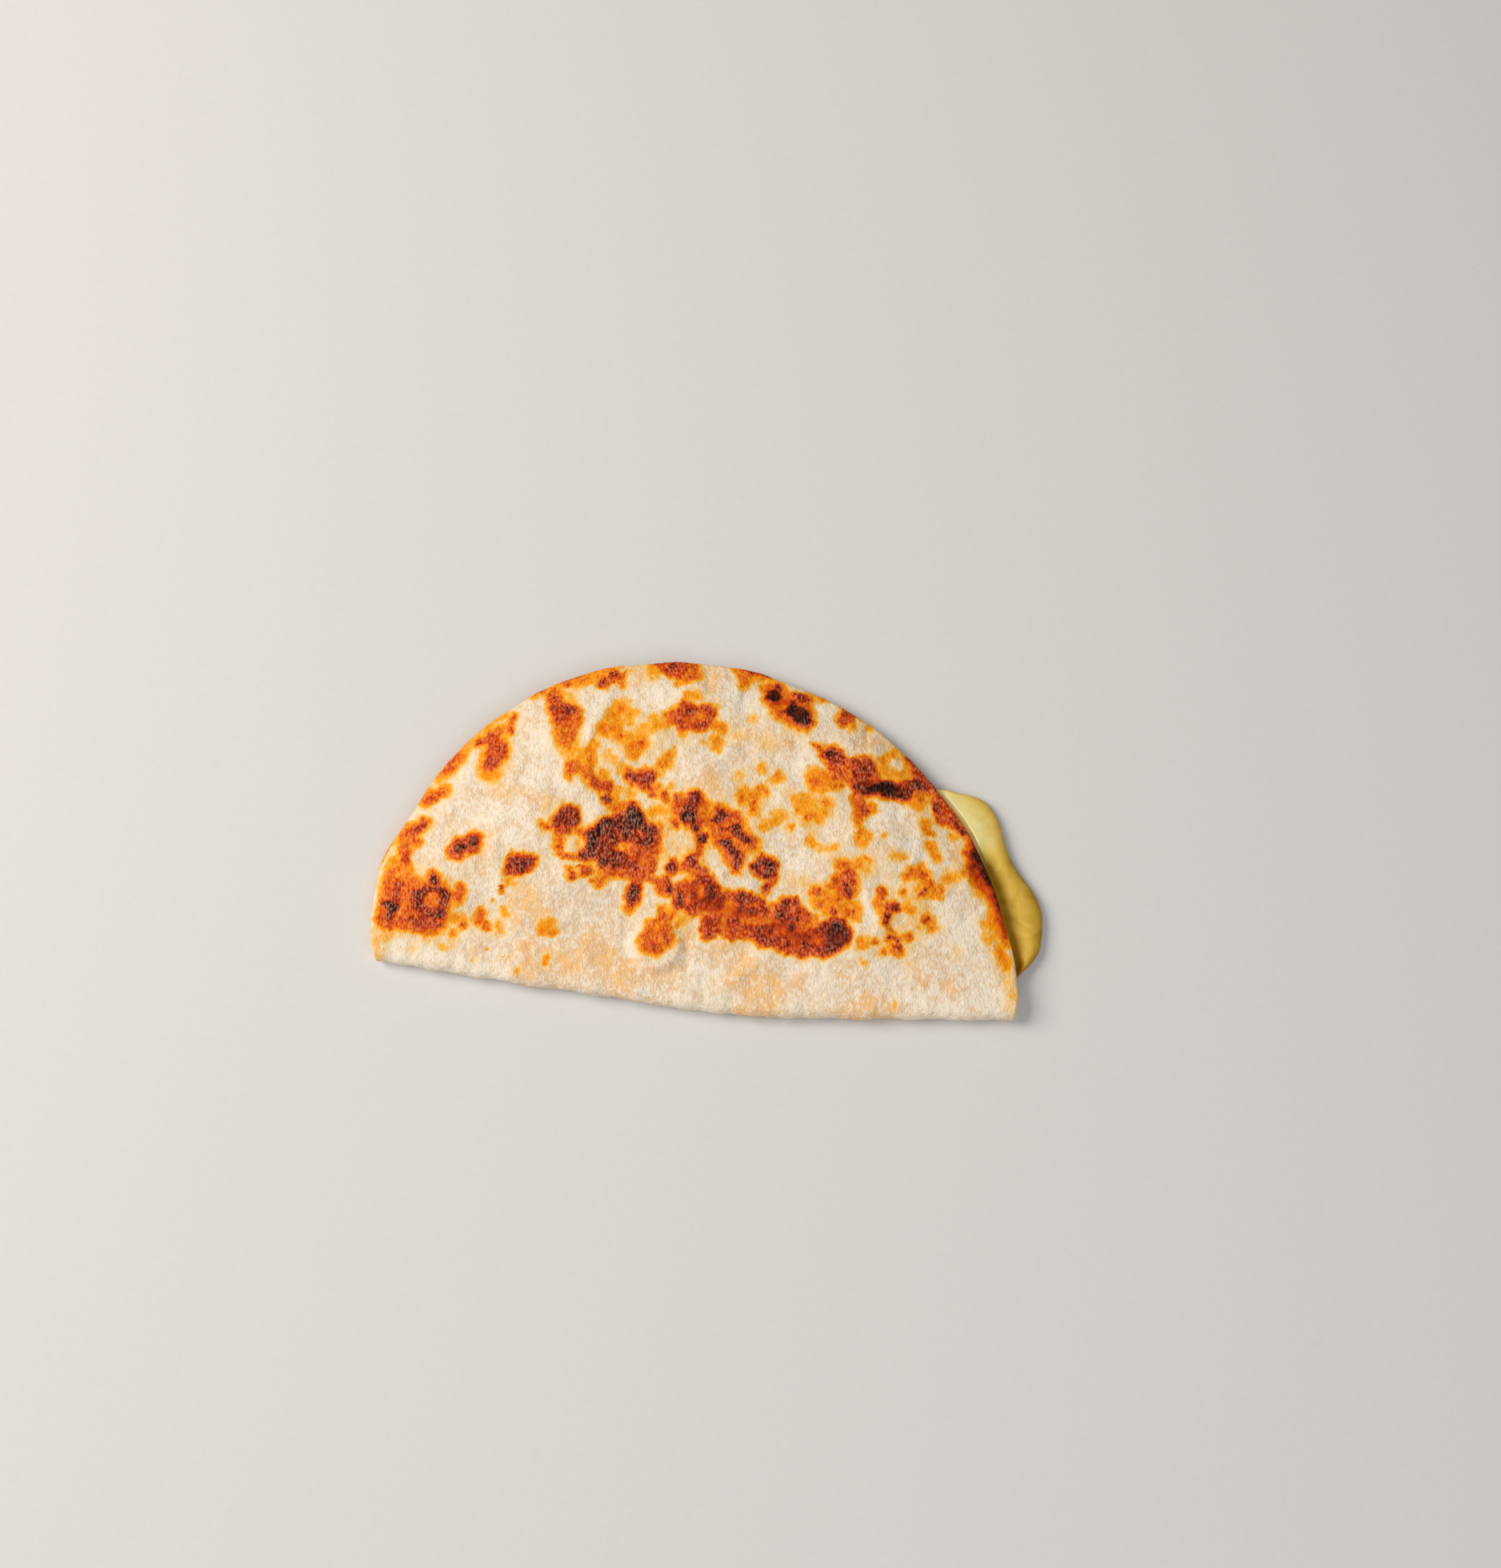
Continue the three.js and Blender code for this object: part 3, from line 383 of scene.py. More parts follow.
STREAKS: dict[Toast, tuple[tuple[float, ...], ...]] = {
    Toast.STRAW: (
        (-88, 17, -80, 24, 1.4), (-100, -12, -95, -1, 1.6), (-92, 4, -87, 11, 1.2),
        (-58, 41, -50, 45, 1.6), (-99, -41, -99, -45, 2.6), (-69.2, -43, -69, -46.4, 0.5),
        (92.4, -36, 94.6, -44, 1.3), (87, -27, 91, -34, 1.2), (38, -6.4, 45, -5, 2.0),
        (24, 33.6, 20, 35, 2.0), (61, -31.8, 63, -34, 0.9), (28, -12, 28.6, -13, 0.8),
    ),
    Toast.HONEY: (
        (-92, 2.6, -90, 3.6, 0.9), (-50, 45.6, -36, 49.6, 1.2), (-62.2, -29.4, -61.1, -31.4, 0.6),
        (-62.2, -34.4, -62, -36.4, 0.8), (-23.5, -25, -23.6, -27, 0.5), (-4, 26, -7, 27.4, 0.6),
        (28.4, 0, 31.8, -1.8, 0.7), (34.4, -2, 36.4, -1.6, 0.8), (-1.8, 28, -1.8, 25, 0.6),
        (71, -7.4, 74, -5.4, 1.3), (80.4, -9.8, 82, -11.4, 0.8), (57.8, -50.3, 56, -50.9, 0.5),
        (86, -20, 88.8, -28, 0.9), (24, 48, 29, 46.2, 0.9), (52, 31, 56, 29.4, 1.0),
        (-84.5, 16, -78, 21, 1.6), (-36, 20, -31, 16.4, 0.9), (-31.6, 8.6, -31.4, 5, 0.8),
        (-98, -9, -94, -16, 1.6), (-80, 20.6, -69, 31, 1.3), (-69.4, 20, -70.6, 13, 3.8),
        (-38, 28, -33.4, 36, 1.9), (-33, 36, -30, 32, 1.5), (-30, 26, -22, 31, 1.7),
        (-24, 29, -18, 33, 1.3), (-46, 20, -40, 14, 2.0), (-51, 36, -48, 22, 3.4),
        (-97, -1, -90, 3, 1.6), (-20, 4, -14, 6, 1.2), (-86, 10, -80, 20, 2.4),
        (58, 16.8, 61, 15, 1.4), (-31, 10, -27, 9, 0.9), (84, -20, 88, -27, 1.2),
    ),
    Toast.AMBER: (
        (-82, 19.4, -79, 21, 1.0), (-97, -18, -97, -24, 1.4), (-3.5, 33, -1.8, 31.8, 1.2),
        (-17, 22, -17, 19.6, 1.0), (-40.2, 22.6, -40.4, 19, 1.1), (-34, 29, -32, 26.6, 1.2),
        (-34.2, 33, -33.8, 31.4, 1.3), (-32.4, 37.2, -33, 35.8, 0.8), (-38, 28.4, -36, 28.4, 1.1),
        (-3.2, 28.8, -2.5, 27.5, 1.0), (-49.6, -35.3, -45.5, -35.2, 0.6),
        (-47.2, -42.8, -47.2, -44.4, 0.5), (48, 27, 51, 29.2, 0.9), (48, 24.2, 54, 23.8, 1.0),
        (63, 9.4, 63.6, 7.2, 0.9), (43.5, 39.6, 43.2, 37.6, 0.6), (65.4, 2.8, 67.2, -1, 0.9),
        (88.6, -27, 91.2, -31.4, 0.9), (46, -3.2, 47.8, -4.4, 0.6), (59.6, -17, 61.2, -17.8, 0.8),
        (59, -45.8, 59, -48, 0.4), (-13, 42, -10.6, 41.6, 1.0), (-16, 46.8, -11.4, 49, 1.2),
        (44.4, -5, 43, -6.8, 0.7), (14, 39, 18, 37.4, 1.0), (46.2, 13, 47, 11.4, 0.7),
        (-91.6, 1.6, -88.4, 3.6, 1.4), (-95.6, -8, -93.6, -8.6, 1.6),
        (-33.4, -18.4, -33.2, -17, 1.4), (31, 6.8, 31.8, 8.8, 0.8), (-24, -25.2, -23.4, -25.8, 1.0),
        (-61, 38.6, -50, 43.8, 1.5), (-50, 44.4, -39, 48.6, 1.7), (-44, 16, -38.6, 11, 1.4),
        (-48, 42, -44, 44.4, 1.0),
    ),
    Toast.ORANGE: (
        (-84, 11.5, -80.5, 16.5, 1.5), (-89, 1.5, -83.5, 4.8, 1.6), (-92.5, -9.5, -88.5, -6, 1.7),
        (-94, -11, -93, -15, 1.9), (-95.5, -19.6, -92, -20.4, 1.5), (-90.8, -12, -90.2, -12.2, 1.0),
        (-53, 43.2, -47, 46, 0.8), (-47, 44.2, -44.6, 44.8, 0.6), (-12.5, 9, -12.3, 0.5, 0.8),
        (-4.2, 7.5, -3.8, 1, 1.1), (-12.5, 8, -9, 6, 1.0), (-4.8, -8, -4.2, -5, 0.7),
        (-51.8, -4, -49.5, -3.8, 0.7), (-43, -4.2, -41, -4.5, 0.5), (-46.8, -6, -46.8, -9.5, 0.9),
        (-47.4, -10.6, -45.6, -12.2, 0.6), (-42.6, 15.2, -40.4, 13.2, 1.2),
        (-40.6, 18.6, -40.4, 16, 0.9), (27, 7, 29.4, 7.8, 0.7), (58.6, -7.8, 60.6, -6, 0.7),
        (66.2, -8.6, 66.6, -10.4, 0.6), (51, -17, 51.8, -18.8, 0.8),
        (54.4, -23.4, 56.6, -25.4, 0.6), (-75.7, -25, -76.2, -27.4, 1.2),
        (-68.2, -31.2, -68.6, -34, 0.9), (57.4, -30, 58.6, -31, 1.2), (60.4, 18.6, 61, 16.8, 1.1),
        (10.4, 12.4, 10.2, 8, 0.5), (36, -13, 38, -11, 1.0), (0.6, 53.6, 5, 51, 1.2),
        (2.6, 51, 3.6, 48.4, 0.9), (-6, -12, -1, -15, 1.6), (-30.6, 3.6, -27.6, 6.4, 0.9),
        (-17.4, 0, -16.6, -8, 0.7), (-31, -15.6, -26, -15.6, 0.8), (86.6, -16, 90.4, -24.4, 0.8),
        (-13, 48, -12.6, 52, 1.2), (38, 42.8, 40.5, 41.4, 0.7), (37.6, 23.6, 37.8, 21.4, 0.4),
    ),
    Toast.RUST: (
        (-87.4, 1.2, -84, 4.2, 0.7), (-91.6, -9, -89, -6.6, 0.9), (-94, -14, -92.6, -18, 1.4),
        (-94.5, -25, -94.2, -30, 1.1), (-95.3, -36, -95.6, -39, 0.7), (-63, 37.8, -57.6, 40.2, 0.6),
        (-75.6, 21.4, -73.4, 22, 0.9), (-50, 42.2, -51.2, 42, 0.7),
        (-12.7, -26.6, -11.6, -34.4, 0.7), (-44.2, -12.3, -41.6, -12.6, 0.7),
        (-22.4, -19, -21.5, -15.5, 1.1), (-17, 10, -16.2, 8, 0.9), (-20.8, -15.6, -15.4, -17, 0.8),
        (2, 53.2, 7, 52.2, 0.8), (11.4, -2.8, 12.2, -3.4, 0.6), (41, 18, 42, 14.4, 1.1),
        (43.4, 12.8, 44.2, 10.8, 1.1), (40.4, -9, 42.2, -11, 1.2), (56.4, 29.2, 60, 26, 1.2),
        (-40.4, -15.2, -36.4, -15.4, 0.5), (-25.4, -14.6, -23.8, -16, 0.9),
        (18.6, -12, 17.4, -15, 1.1), (13.8, 42.6, 17.4, 43.4, 1.0), (83, -5, 88, -14, 1.2),
        (-21.6, 11.4, -20.4, 9.6, 0.8), (-1.6, -18, 2, -17, 1.2), (-8, -12, -6, -9, 1.2),
        (-26.8, 6, -25.4, 6.4, 0.7), (-62.4, -23, -62.8, -24.6, 0.5),
        (78.6, -4.6, 84.6, -10.6, 1.2), (77, 1.6, 78.4, -3.4, 1.0),
    ),
    Toast.CHESTNUT: (
        (87.4, -15, 90, -22.4, 0.9), (-28.2, 14.6, -21.4, 14.8, 1.3), (-7.6, 10.2, -7.8, 2.6, 1.7),
        (-10, 6, -9.6, 3, 1.0), (-91, -8.4, -88.6, -6.4, 0.7), (-94.4, -26, -94.4, -30, 0.9),
        (-89, -35, -85.4, -38.6, 0.9), (83.6, -7.6, 87, -13, 1.0),
        (-24.4, -11.6, -22.4, -13.4, 0.8), (-19, -12, -18, -13.6, 0.7), (-90, -27, -88.4, -32, 0.8),
        (-85.6, -34.4, -83.6, -37, 0.9),
    ),
    Toast.BROWN: (
        (-88.2, -27.6, -87.2, -31, 1.4), (-87, -31, -83.5, -33, 1.2),
        (-83.5, -33.4, -80.4, -32.4, 1.4), (-80.2, -32, -79.8, -27.5, 1.0),
        (-80, -26.4, -82.5, -26, 1.1), (-82.5, -26.2, -86, -26.4, 0.9), (-86, -26.6, -88, -28, 1.0),
        (-95.4, -32, -95.8, -35.8, 0.9), (-83.8, -22, -83, -24, 0.7), (-24, 53.3, -20, 53.5, 0.9),
        (-13.2, 37.2, -10, 36.5, 0.7), (-9.3, 32.4, -6.8, 33.2, 0.7), (20.4, 45.5, 23.4, 44.6, 1.1),
        (13.6, 48.6, 14.4, 47, 0.8), (6, 52, 11, 51.1, 0.6), (43.4, 18.4, 56.4, 18.4, 2.2),
        (66.6, 17.4, 66.2, 13.6, 0.9), (70.6, 12.2, 75, 7.8, 0.7), (63, 22.8, 66, 20, 0.8),
        (82, -3, 85.4, -8, 1.3), (85.4, -8.4, 88, -13.4, 0.9), (40.8, -12, 42, -15, 0.9),
        (55.4, -17.6, 56.8, -17, 0.7), (53.8, -20.2, 54, -22.2, 0.8),
        (63.2, -12.6, 64.6, -11.4, 0.5), (-13, -17, -11.8, -19, 1.0), (-8, 10, -7, 11, 0.8),
        (7, -20.4, 11, -20.2, 0.8), (18.8, 43, 19.4, 42.4, 0.8), (-49.6, 33.2, -47.8, 33, 0.8),
    ),
    Toast.UMBER: (
        (-10.2, 3.5, -7.6, 3.5, 1.2), (-7.8, 2, -6.2, 0, 0.7), (-59, -17.4, -55.4, -15, 0.5),
        (-88.2, -28.4, -87.6, -30.4, 0.7), (-83.2, -33.6, -80.8, -33, 0.7),
        (-81.4, -26.2, -80, -28, 0.4), (-82.6, -35.4, -81, -36.8, 0.6),
        (-97.2, -31.6, -94.4, -32.8, 0.7), (-62, -13.6, -60.6, -16, 0.3),
        (-23.4, -6, -19.4, -5, 1.0), (80.6, 0.2, 84.6, -5, 1.4), (84.6, -5, 88.6, -12.6, 1.5),
    ),
    Toast.CHAR: (
        (-63.8, -22.7, -63, -23.4, 0.3), (39.6, -26.4, 40.2, -29.4, 0.2),
    ),
}
SPOTS: dict[Toast, tuple[tuple[float, float, float], ...]] = {
    Toast.STRAW: (
        (-88.2, -43.8, 1.2), (-76.2, -41.5, 0.9), (-80, -41, 1.4), (-75, -39.6, 0.9),
        (-19, 29.5, 1.4), (-13, 27, 0.8), (2, 31.5, 1.4), (12.5, 29, 1.5), (53.8, -8.5, 0.7),
        (61, -28.5, 0.9), (63.6, -26, 0.9), (-66, 14, 1.2), (76, -29, 0.9), (36, -4.6, 0.9),
        (10.5, 1, 1.0), (20.6, 14, 1.0), (-52, -4.6, 1.4), (29.6, 2.6, 1.2),
    ),
    Toast.HONEY: (
        (-78.8, -42.8, 0.7), (-58.1, -43.6, 0.4), (-55.3, -47.9, 0.6), (-48, -33.4, 1.5),
        (-74.2, -33.8, 0.9), (-71, 27, 0.9), (-24.5, 48, 1.1), (-25.5, 50, 0.9), (-32.2, 48.4, 0.7),
        (-23, 32.2, 1.6), (-8.5, 41.8, 0.7), (-13.5, 29.5, 1.2), (-4, 39.4, 0.7), (7.6, 36.6, 0.8),
        (12, 21, 0.9), (5.5, 17.5, 1.3), (14.3, 3, 0.9), (17.2, 3.8, 0.4), (15.6, 17.8, 0.8),
        (-15, 12.2, 0.7), (-28.5, 34, 0.8), (46.4, -7.4, 1.0), (53.6, -2, 0.9), (56.2, -2, 0.8),
        (70.4, -22.6, 0.7), (48.2, -35, 0.6), (-7, -27.6, 1.0), (-9, -26.4, 0.8), (-8.2, -34, 0.7),
        (-17.2, -38.8, 0.6), (72, 7, 1.0), (35, 17, 1.2), (-12, -27.6, 1.2), (16.8, 5.4, 0.8),
        (-92, -24, 1.6), (-77, -29, 0.8), (64, -22.8, 0.4), (-41.6, -8, 0.8), (50.4, 3.6, 0.6),
        (-59, -22, 0.6), (-59.6, -19.8, 0.7), (-57.8, -19.6, 0.7),
    ),
    Toast.AMBER: (
        (-75.6, -34, 1.0), (-76, -38.4, 0.8), (-69.9, -34.4, 0.5), (19.8, 6.8, 0.6),
        (-53, -3.6, 0.7), (22.6, 3.8, 0.8), (17.2, 19, 1.0), (27, 13, 0.8), (24.2, 9, 0.7),
        (37.6, -7, 0.6), (-19, 15.8, 0.7), (-18.6, 19.4, 1.1), (16.8, 18.8, 0.6), (65.2, 6.6, 0.8),
        (57, 24.6, 0.8), (38, 37.6, 0.9), (-36.5, 14.4, 1.2), (-32, 4, 1.4), (47.6, -29.2, 1.4),
        (-45.2, -12.2, 0.6), (-13.4, 34.4, 0.9), (42, -20.4, 1.0), (-18, -36, 1.2), (-43, 14, 0.9),
    ),
    Toast.ORANGE: (
        (-66.2, -35.2, 0.9), (-69.6, 25.4, 1.2), (-34.4, 44.2, 0.9), (-31.7, 26.6, 0.8),
        (-25.8, 24.6, 0.8), (-34.2, 10.6, 1.2), (-18.8, 12, 0.7), (-43, -16, 0.7),
        (-30.8, -16.5, 0.7), (-34, -18.8, 0.8), (-36.6, -15.6, 0.7), (-45, -5.4, 0.8),
        (-8.5, -29.2, 0.6), (28.6, 18, 0.9), (28, 46.3, 0.9), (32, 12.2, 0.7), (6.3, 11.4, 0.8),
        (9.2, 12.6, 0.6), (58, -12.7, 0.7), (69.2, -11, 0.7), (69.2, -13, 0.4), (76, -5, 0.8),
        (67.9, -22.5, 1.0), (61, -25.9, 0.9), (46.6, -30.2, 0.5), (51, -28.4, 0.7),
        (53.9, -30.9, 0.8), (63.6, -6.8, 1.2), (43.8, -20.4, 1.2), (32.9, -23.2, 0.6),
        (66.2, -20, 1.2), (8.4, -31, 0.9), (-3.6, -5.4, 0.5), (-88, 1.6, 1.4), (43.6, 3.2, 0.8),
        (32.2, -15.4, 1.6), (-15, -36.2, 1.4), (4.6, 6, 0.8), (-61.4, -21.4, 0.7), (-84, 14, 1.6),
        (-51, 42.6, 1.2),
    ),
    Toast.RUST: (
        (-92, -36.2, 1.2), (-88, -38.4, 0.9), (-85, -37, 1.4), (-73.3, -35.7, 0.8),
        (-74.4, -36.1, 0.4), (-69.2, -32.2, 0.6), (-65.4, -27.4, 0.4), (-66, -42.2, 0.35),
        (-70.6, 19, 1.0), (-42.2, -17.8, 0.9), (-38.2, -16.2, 1.1), (-19, -12.6, 0.9),
        (-23.4, -13, 1.1), (-12.6, 9.2, 0.8), (-11.6, 7.4, 0.7), (-12.6, 1, 0.8), (-15, -36.4, 1.0),
        (34.2, -18.8, 1.0), (38.6, -16.4, 0.7), (32.4, -15.4, 0.8), (36.4, 18, 0.7),
        (41.6, 12.6, 0.5), (35.4, 41.4, 0.9), (-19.3, -42.5, 0.3), (47.5, -28.7, 0.3),
        (51.4, -28.6, 0.35), (61, -25.9, 0.5), (65.4, -12, 0.4), (66.6, -13.2, 0.4),
        (52, -14.4, 0.6), (66.2, -20, 0.7), (58.2, -29.2, 0.9), (57.2, -29.5, 0.6),
        (43.9, -20.1, 0.5), (79.6, -5, 1.2), (-36, -18.6, 0.5), (-18.2, 35, 0.5), (-3, -13.6, 0.6),
        (17, 42.6, 1.0),
    ),
    Toast.BROWN: (
        (-83.2, -22.8, 0.9), (-81.2, -36.5, 1.1), (-97.6, -31.8, 0.9), (-93.8, -32, 0.9),
        (-95.6, -33.4, 1.2), (-95.2, -35.4, 0.5), (-77.2, -12.8, 1.9), (-72.9, -10.8, 1.5),
        (-72, 23.4, 0.8), (-54.2, 33.8, 1.2), (-53.4, 36.8, 0.7), (-51, 32.4, 0.7),
        (-39.8, 43.6, 1.2), (-36.3, 46.8, 1.0), (-19, 51.2, 1.2), (-6.8, 37.8, 0.7),
        (-34.4, 6.6, 1.1), (-26.8, 14, 0.6), (-23.4, 13.8, 0.8), (-39.4, -11, 0.9), (-9, 7.6, 0.8),
        (-3.8, -12.2, 0.8), (-2, -12.4, 0.7), (13, -22.8, 1.0), (16, -20.2, 0.8),
        (17.4, -22.8, 1.0), (24.8, -24, 0.8), (26.2, -19.6, 1.0), (23.2, -19.4, 0.8),
        (16.6, -30.6, 1.1), (19.6, -27.6, 1.0), (12.6, -27.8, 0.8), (27.6, -29, 1.2),
        (29.8, -28, 1.0), (32, -28.8, 1.0), (33.2, -27.2, 0.7), (34.8, -26.2, 1.0),
        (24.6, -32, 0.8), (-5, -20, 1.2), (3, -22, 1.4), (3.4, -27, 1.2), (-8.2, -22.4, 0.8),
        (0, -17, 1.2), (12.4, -19.4, 1.0), (6.6, -26.2, 0.8), (22.4, -29.6, 0.8), (34, -32, 1.2),
        (-60.7, -11.4, 0.25), (-4, -23.4, 0.9), (8, -29.4, 0.7), (1.2, -31, 0.9),
        (37.8, -20.6, 1.1), (41.6, -14, 1.1), (36.6, 22, 0.7), (41.4, 18.6, 0.9),
        (55.5, -26.7, 0.8), (57.7, -27.1, 0.7), (79.4, 1.2, 1.5), (16.8, -15.8, 0.8),
        (4.4, -24.4, 0.6), (-12.6, -11.9, 0.8), (77.8, -7.1, 0.2), (-60.4, -44.5, 0.15),
        (54, -17.9, 0.7), (58.4, -29.2, 0.5), (-2.4, -16.2, 0.7), (6, -22.4, 0.5),
        (-31.2, -12.6, 0.7),
    ),
    Toast.UMBER: (
        (-36.2, -11, 0.8), (-46.6, -0.2, 0.5), (17.4, -9, 2.0), (-76.8, -12.6, 1.4),
        (-72.8, -10.6, 1.4), (-23, -21.8, 1.2), (55.8, 18.8, 0.9), (42.2, 24, 0.9),
        (32.6, 27.8, 1.0), (35.8, 25.4, 0.7), (59, 21.6, 1.2), (-12, -18.8, 0.9), (9.6, -18.6, 1.0),
        (10, -22.6, 1.0), (21.8, -23, 1.2), (27, -24, 0.9), (26.2, -26.6, 1.0), (9.4, -26.4, 0.9),
        (16.4, -28, 1.0), (30.6, -31.6, 1.1), (-8.5, -20.5, 1.0), (-2, -21, 0.9), (0.6, -20, 1.2),
        (-33, -13, 1.0), (-28.4, -12, 0.8), (-34, 6.4, 0.7), (54, -20.8, 0.5), (-5.8, 4.2, 0.4),
        (66.6, 17, 0.3), (-22.4, 53, 0.5), (-53.6, 33.8, 0.4), (6.6, -7.4, 0.6),
        (-55.4, -14.4, 0.5),
    ),
    Toast.CHAR: (
        (-25.6, 2, 1.6), (-23.4, 0.6, 0.9), (17.6, -8.6, 0.8), (13.8, 48, 0.4), (54.8, 17, 0.8),
        (-43.9, -7.2, 0.2), (-15.5, 24.4, 0.2), (-33.3, 47.8, 0.2),
    ),
}
# Paler islands inside toasted patches, as (x, y, x, y, radius, how toasted).
ISLANDS: tuple[tuple[float, ...], ...] = (
    (-43.6, -6.8, -43.4, -9.2, 1.1, 0.16), (-82.6, -28.8, -82.4, -29, 1.2, 0.56),
    (-9.4, 35.2, -8.4, 35.2, 0.5, 0.42), (-12.6, 34, -12.4, 34, 0.3, 0.52),
    (51.6, 27.2, 53.4, 26.8, 1.1, 0.14), (-3, -17.2, -2.4, -20, 0.5, 0.52),
    (5.8, -21.5, 6, -21.5, 0.7, 0.48), (10.5, -25.8, 14, -26.4, 0.3, 0.5),
    (14, -26.4, 18.5, -25.6, 0.3, 0.5), (33.5, -29, 34.3, -30.4, 0.5, 0.55),
    (15, -9.2, 15, -10, 0.3, 0.58), (37.6, 23.4, 37.8, 21.5, 0.3, 0.52),
    (34.4, 26.3, 34.6, 26.2, 0.6, 0.7), (42, 22.4, 42.2, 22.4, 0.8, 0.7),
    (-23.4, -3.2, -22.2, -4.2, 0.7, 0.64), (-27.2, -7.4, -26, -7.2, 0.5, 0.5),
    (-30.4, -3.4, -28.8, -4.4, 0.4, 0.74), (14.4, -25, 22, -25.6, 0.2, 0.52),
    (2, -24.4, 6.2, -24, 0.3, 0.54), (-6.6, -18, -6.2, -22, 0.2, 0.55),
    (4.4, -26, 5.6, -29.4, 0.3, 0.55), (28.6, -25.6, 30.6, -27, 0.3, 0.55),
    (18, -24.2, 19.6, -20.8, 0.2, 0.54), (24, -27.8, 25, -30, 0.1, 0.58),
    (31, -24.6, 33, -25.6, 0.3, 0.5), (-3.4, -24.6, 0, -25.4, 0.2, 0.56),
    (10.6, -29, 14, -29.4, 0.1, 0.58), (5, -17.6, 6.4, -20, 0.3, 0.52),
    (12.6, -21.4, 14.8, -21.2, 0.1, 0.55), (-21.6, -11.4, -20.4, -11.8, 0.2, 0.5),
    # The first island below is a painted highlight: a white glint on a small mark
    (-62.1, -21.8, -61.9, -21.8, 0.3, 0.1), (-60.4, -17.2, -60, -17.6, 0.7, 0.72),
)
# Strips where dry flour keeps the dough white, as (x, y, x, y, radius).
FLOUR: tuple[tuple[float, ...], ...] = (
    (-57, 11, -55, 22, 3.2), (-55, 22, -44, 20, 2.4), (-45, 25, -38, 42, 2.2),
    (-22, 40, -18, 43, 2.6), (24, 22, 26, 25, 2.4), (-24, -38, -23, -35, 1.0),
    (-1, -43, 4, -41, 2.6), (36, -41.5, 38.5, -39.5, 0.9), (31.3, -46.5, 32.5, -44, 0.8),
    (53.5, -36, 54, -39, 1.0), (64, -47, 66, -47, 1.2), (-62, -8, -65.6, -16, 1.6),
    (-65.6, -16, -65.4, -25, 1.5), (-96, -45, -70, -49, 2.6), (0, 44, 8, 40, 2.4),
    (24, 33, 28, 40, 1.6), (60, 2, 64, -4, 1.6), (70, -16, 82, -26, 3.2), (44, -14, 48, -22, 1.4),
    (-8, 20, -2, 24, 1.8), (-82, 8, -78, 12, 1.6), (-70, -2, -60, 0, 2.2), (46, 8, 52, 12, 2.0),
    (8, -14, 12, -15, 0.9), (22, -6, 28, -9, 1.6), (-6, -40, -8, -36, 0.6), (82, -36, 88, -46, 2.4),
    (-46, 8, -50, 13, 1.2), (-40, 2, -36, 5, 1.4), (58, -42, 71, -46, 1.8), (76, -47, 80, -44, 1.6),
    (-88, -46, -60, -50, 1.4), (-6, -53, 8, -51, 0.8),
)
# Patches where fat has soaked in and darkens the dough, as (x, y, x, y, radius). The wide patch
# by the top right rim is partly painted shade, where the dough slopes away from the light, and a
# few patches over dark marks near the end mostly hold back the painted highlight there.
GREASE_AND_SHADE: tuple[tuple[float, ...], ...] = (
    (7, -38, 20, -47, 4.5), (-57, -25, -51, -29, 2.6), (-33, -38, -24, -46, 4.0),
    (51, -46.5, 57, -48.5, 1.8), (66, -38, 66.4, -40, 0.8), (12, -52.4, 20, -52.6, 0.9),
    (-67, 6, -64, 3, 1.8), (-60, 6, -51, 3, 1.3), (-5, 19, -2, 11, 1.6), (-8, 52.6, -4.4, 45, 1.5),
    (-70, -9, -66.4, -15, 1.8), (-5.6, -31, -6.4, -39, 1.3), (24.5, -11.5, 28, -13, 1.4),
    (73.6, 3, 75, -2, 1.2), (62.4, 13, 60.4, 12, 1.0), (-31, 51.6, -28.4, 46.6, 1.2),
    # The first patch on this line is partly painted shade by the top right rim
    (41, 40.4, 55, 31.4, 2.2), (42.8, 38, 42.8, 31, 0.5), (-63, -14, -68, -18, 1.6),
    (-53, -40, -51.4, -47, 1.6), (74, -40, 77, -40.6, 0.8), (40, -39.4, 41.6, -39, 0.9),
    (45, -50, 47.6, -50.4, 1.0), (-17, -45.6, -6, -42.6, 0.5), (92, -30, 95.6, -41, 0.5),
    (-59, -27, -58, -33, 1.0), (-26, 50, -24, 52, 0.3), (30, -42, 31.4, -46, 0.8),
    (-46, -43, -38, -44, 2.6), (-58, 16, -60, 12, 1.0), (77.6, 2, 86, -9, 2.6),
    (87, -11, 91, -26, 1.8), (79, -6, 83, -10, 1.2), (4, 31, 18, 30, 0.9), (12, 45, 23, 38, 1.6),
    (45, 18.8, 54, 18.8, 0.9), (38, -27, 41, -29, 1.0), (22, -27, 34, -30, 0.7),
    (-4, -20, 10, -24, 0.7),
)


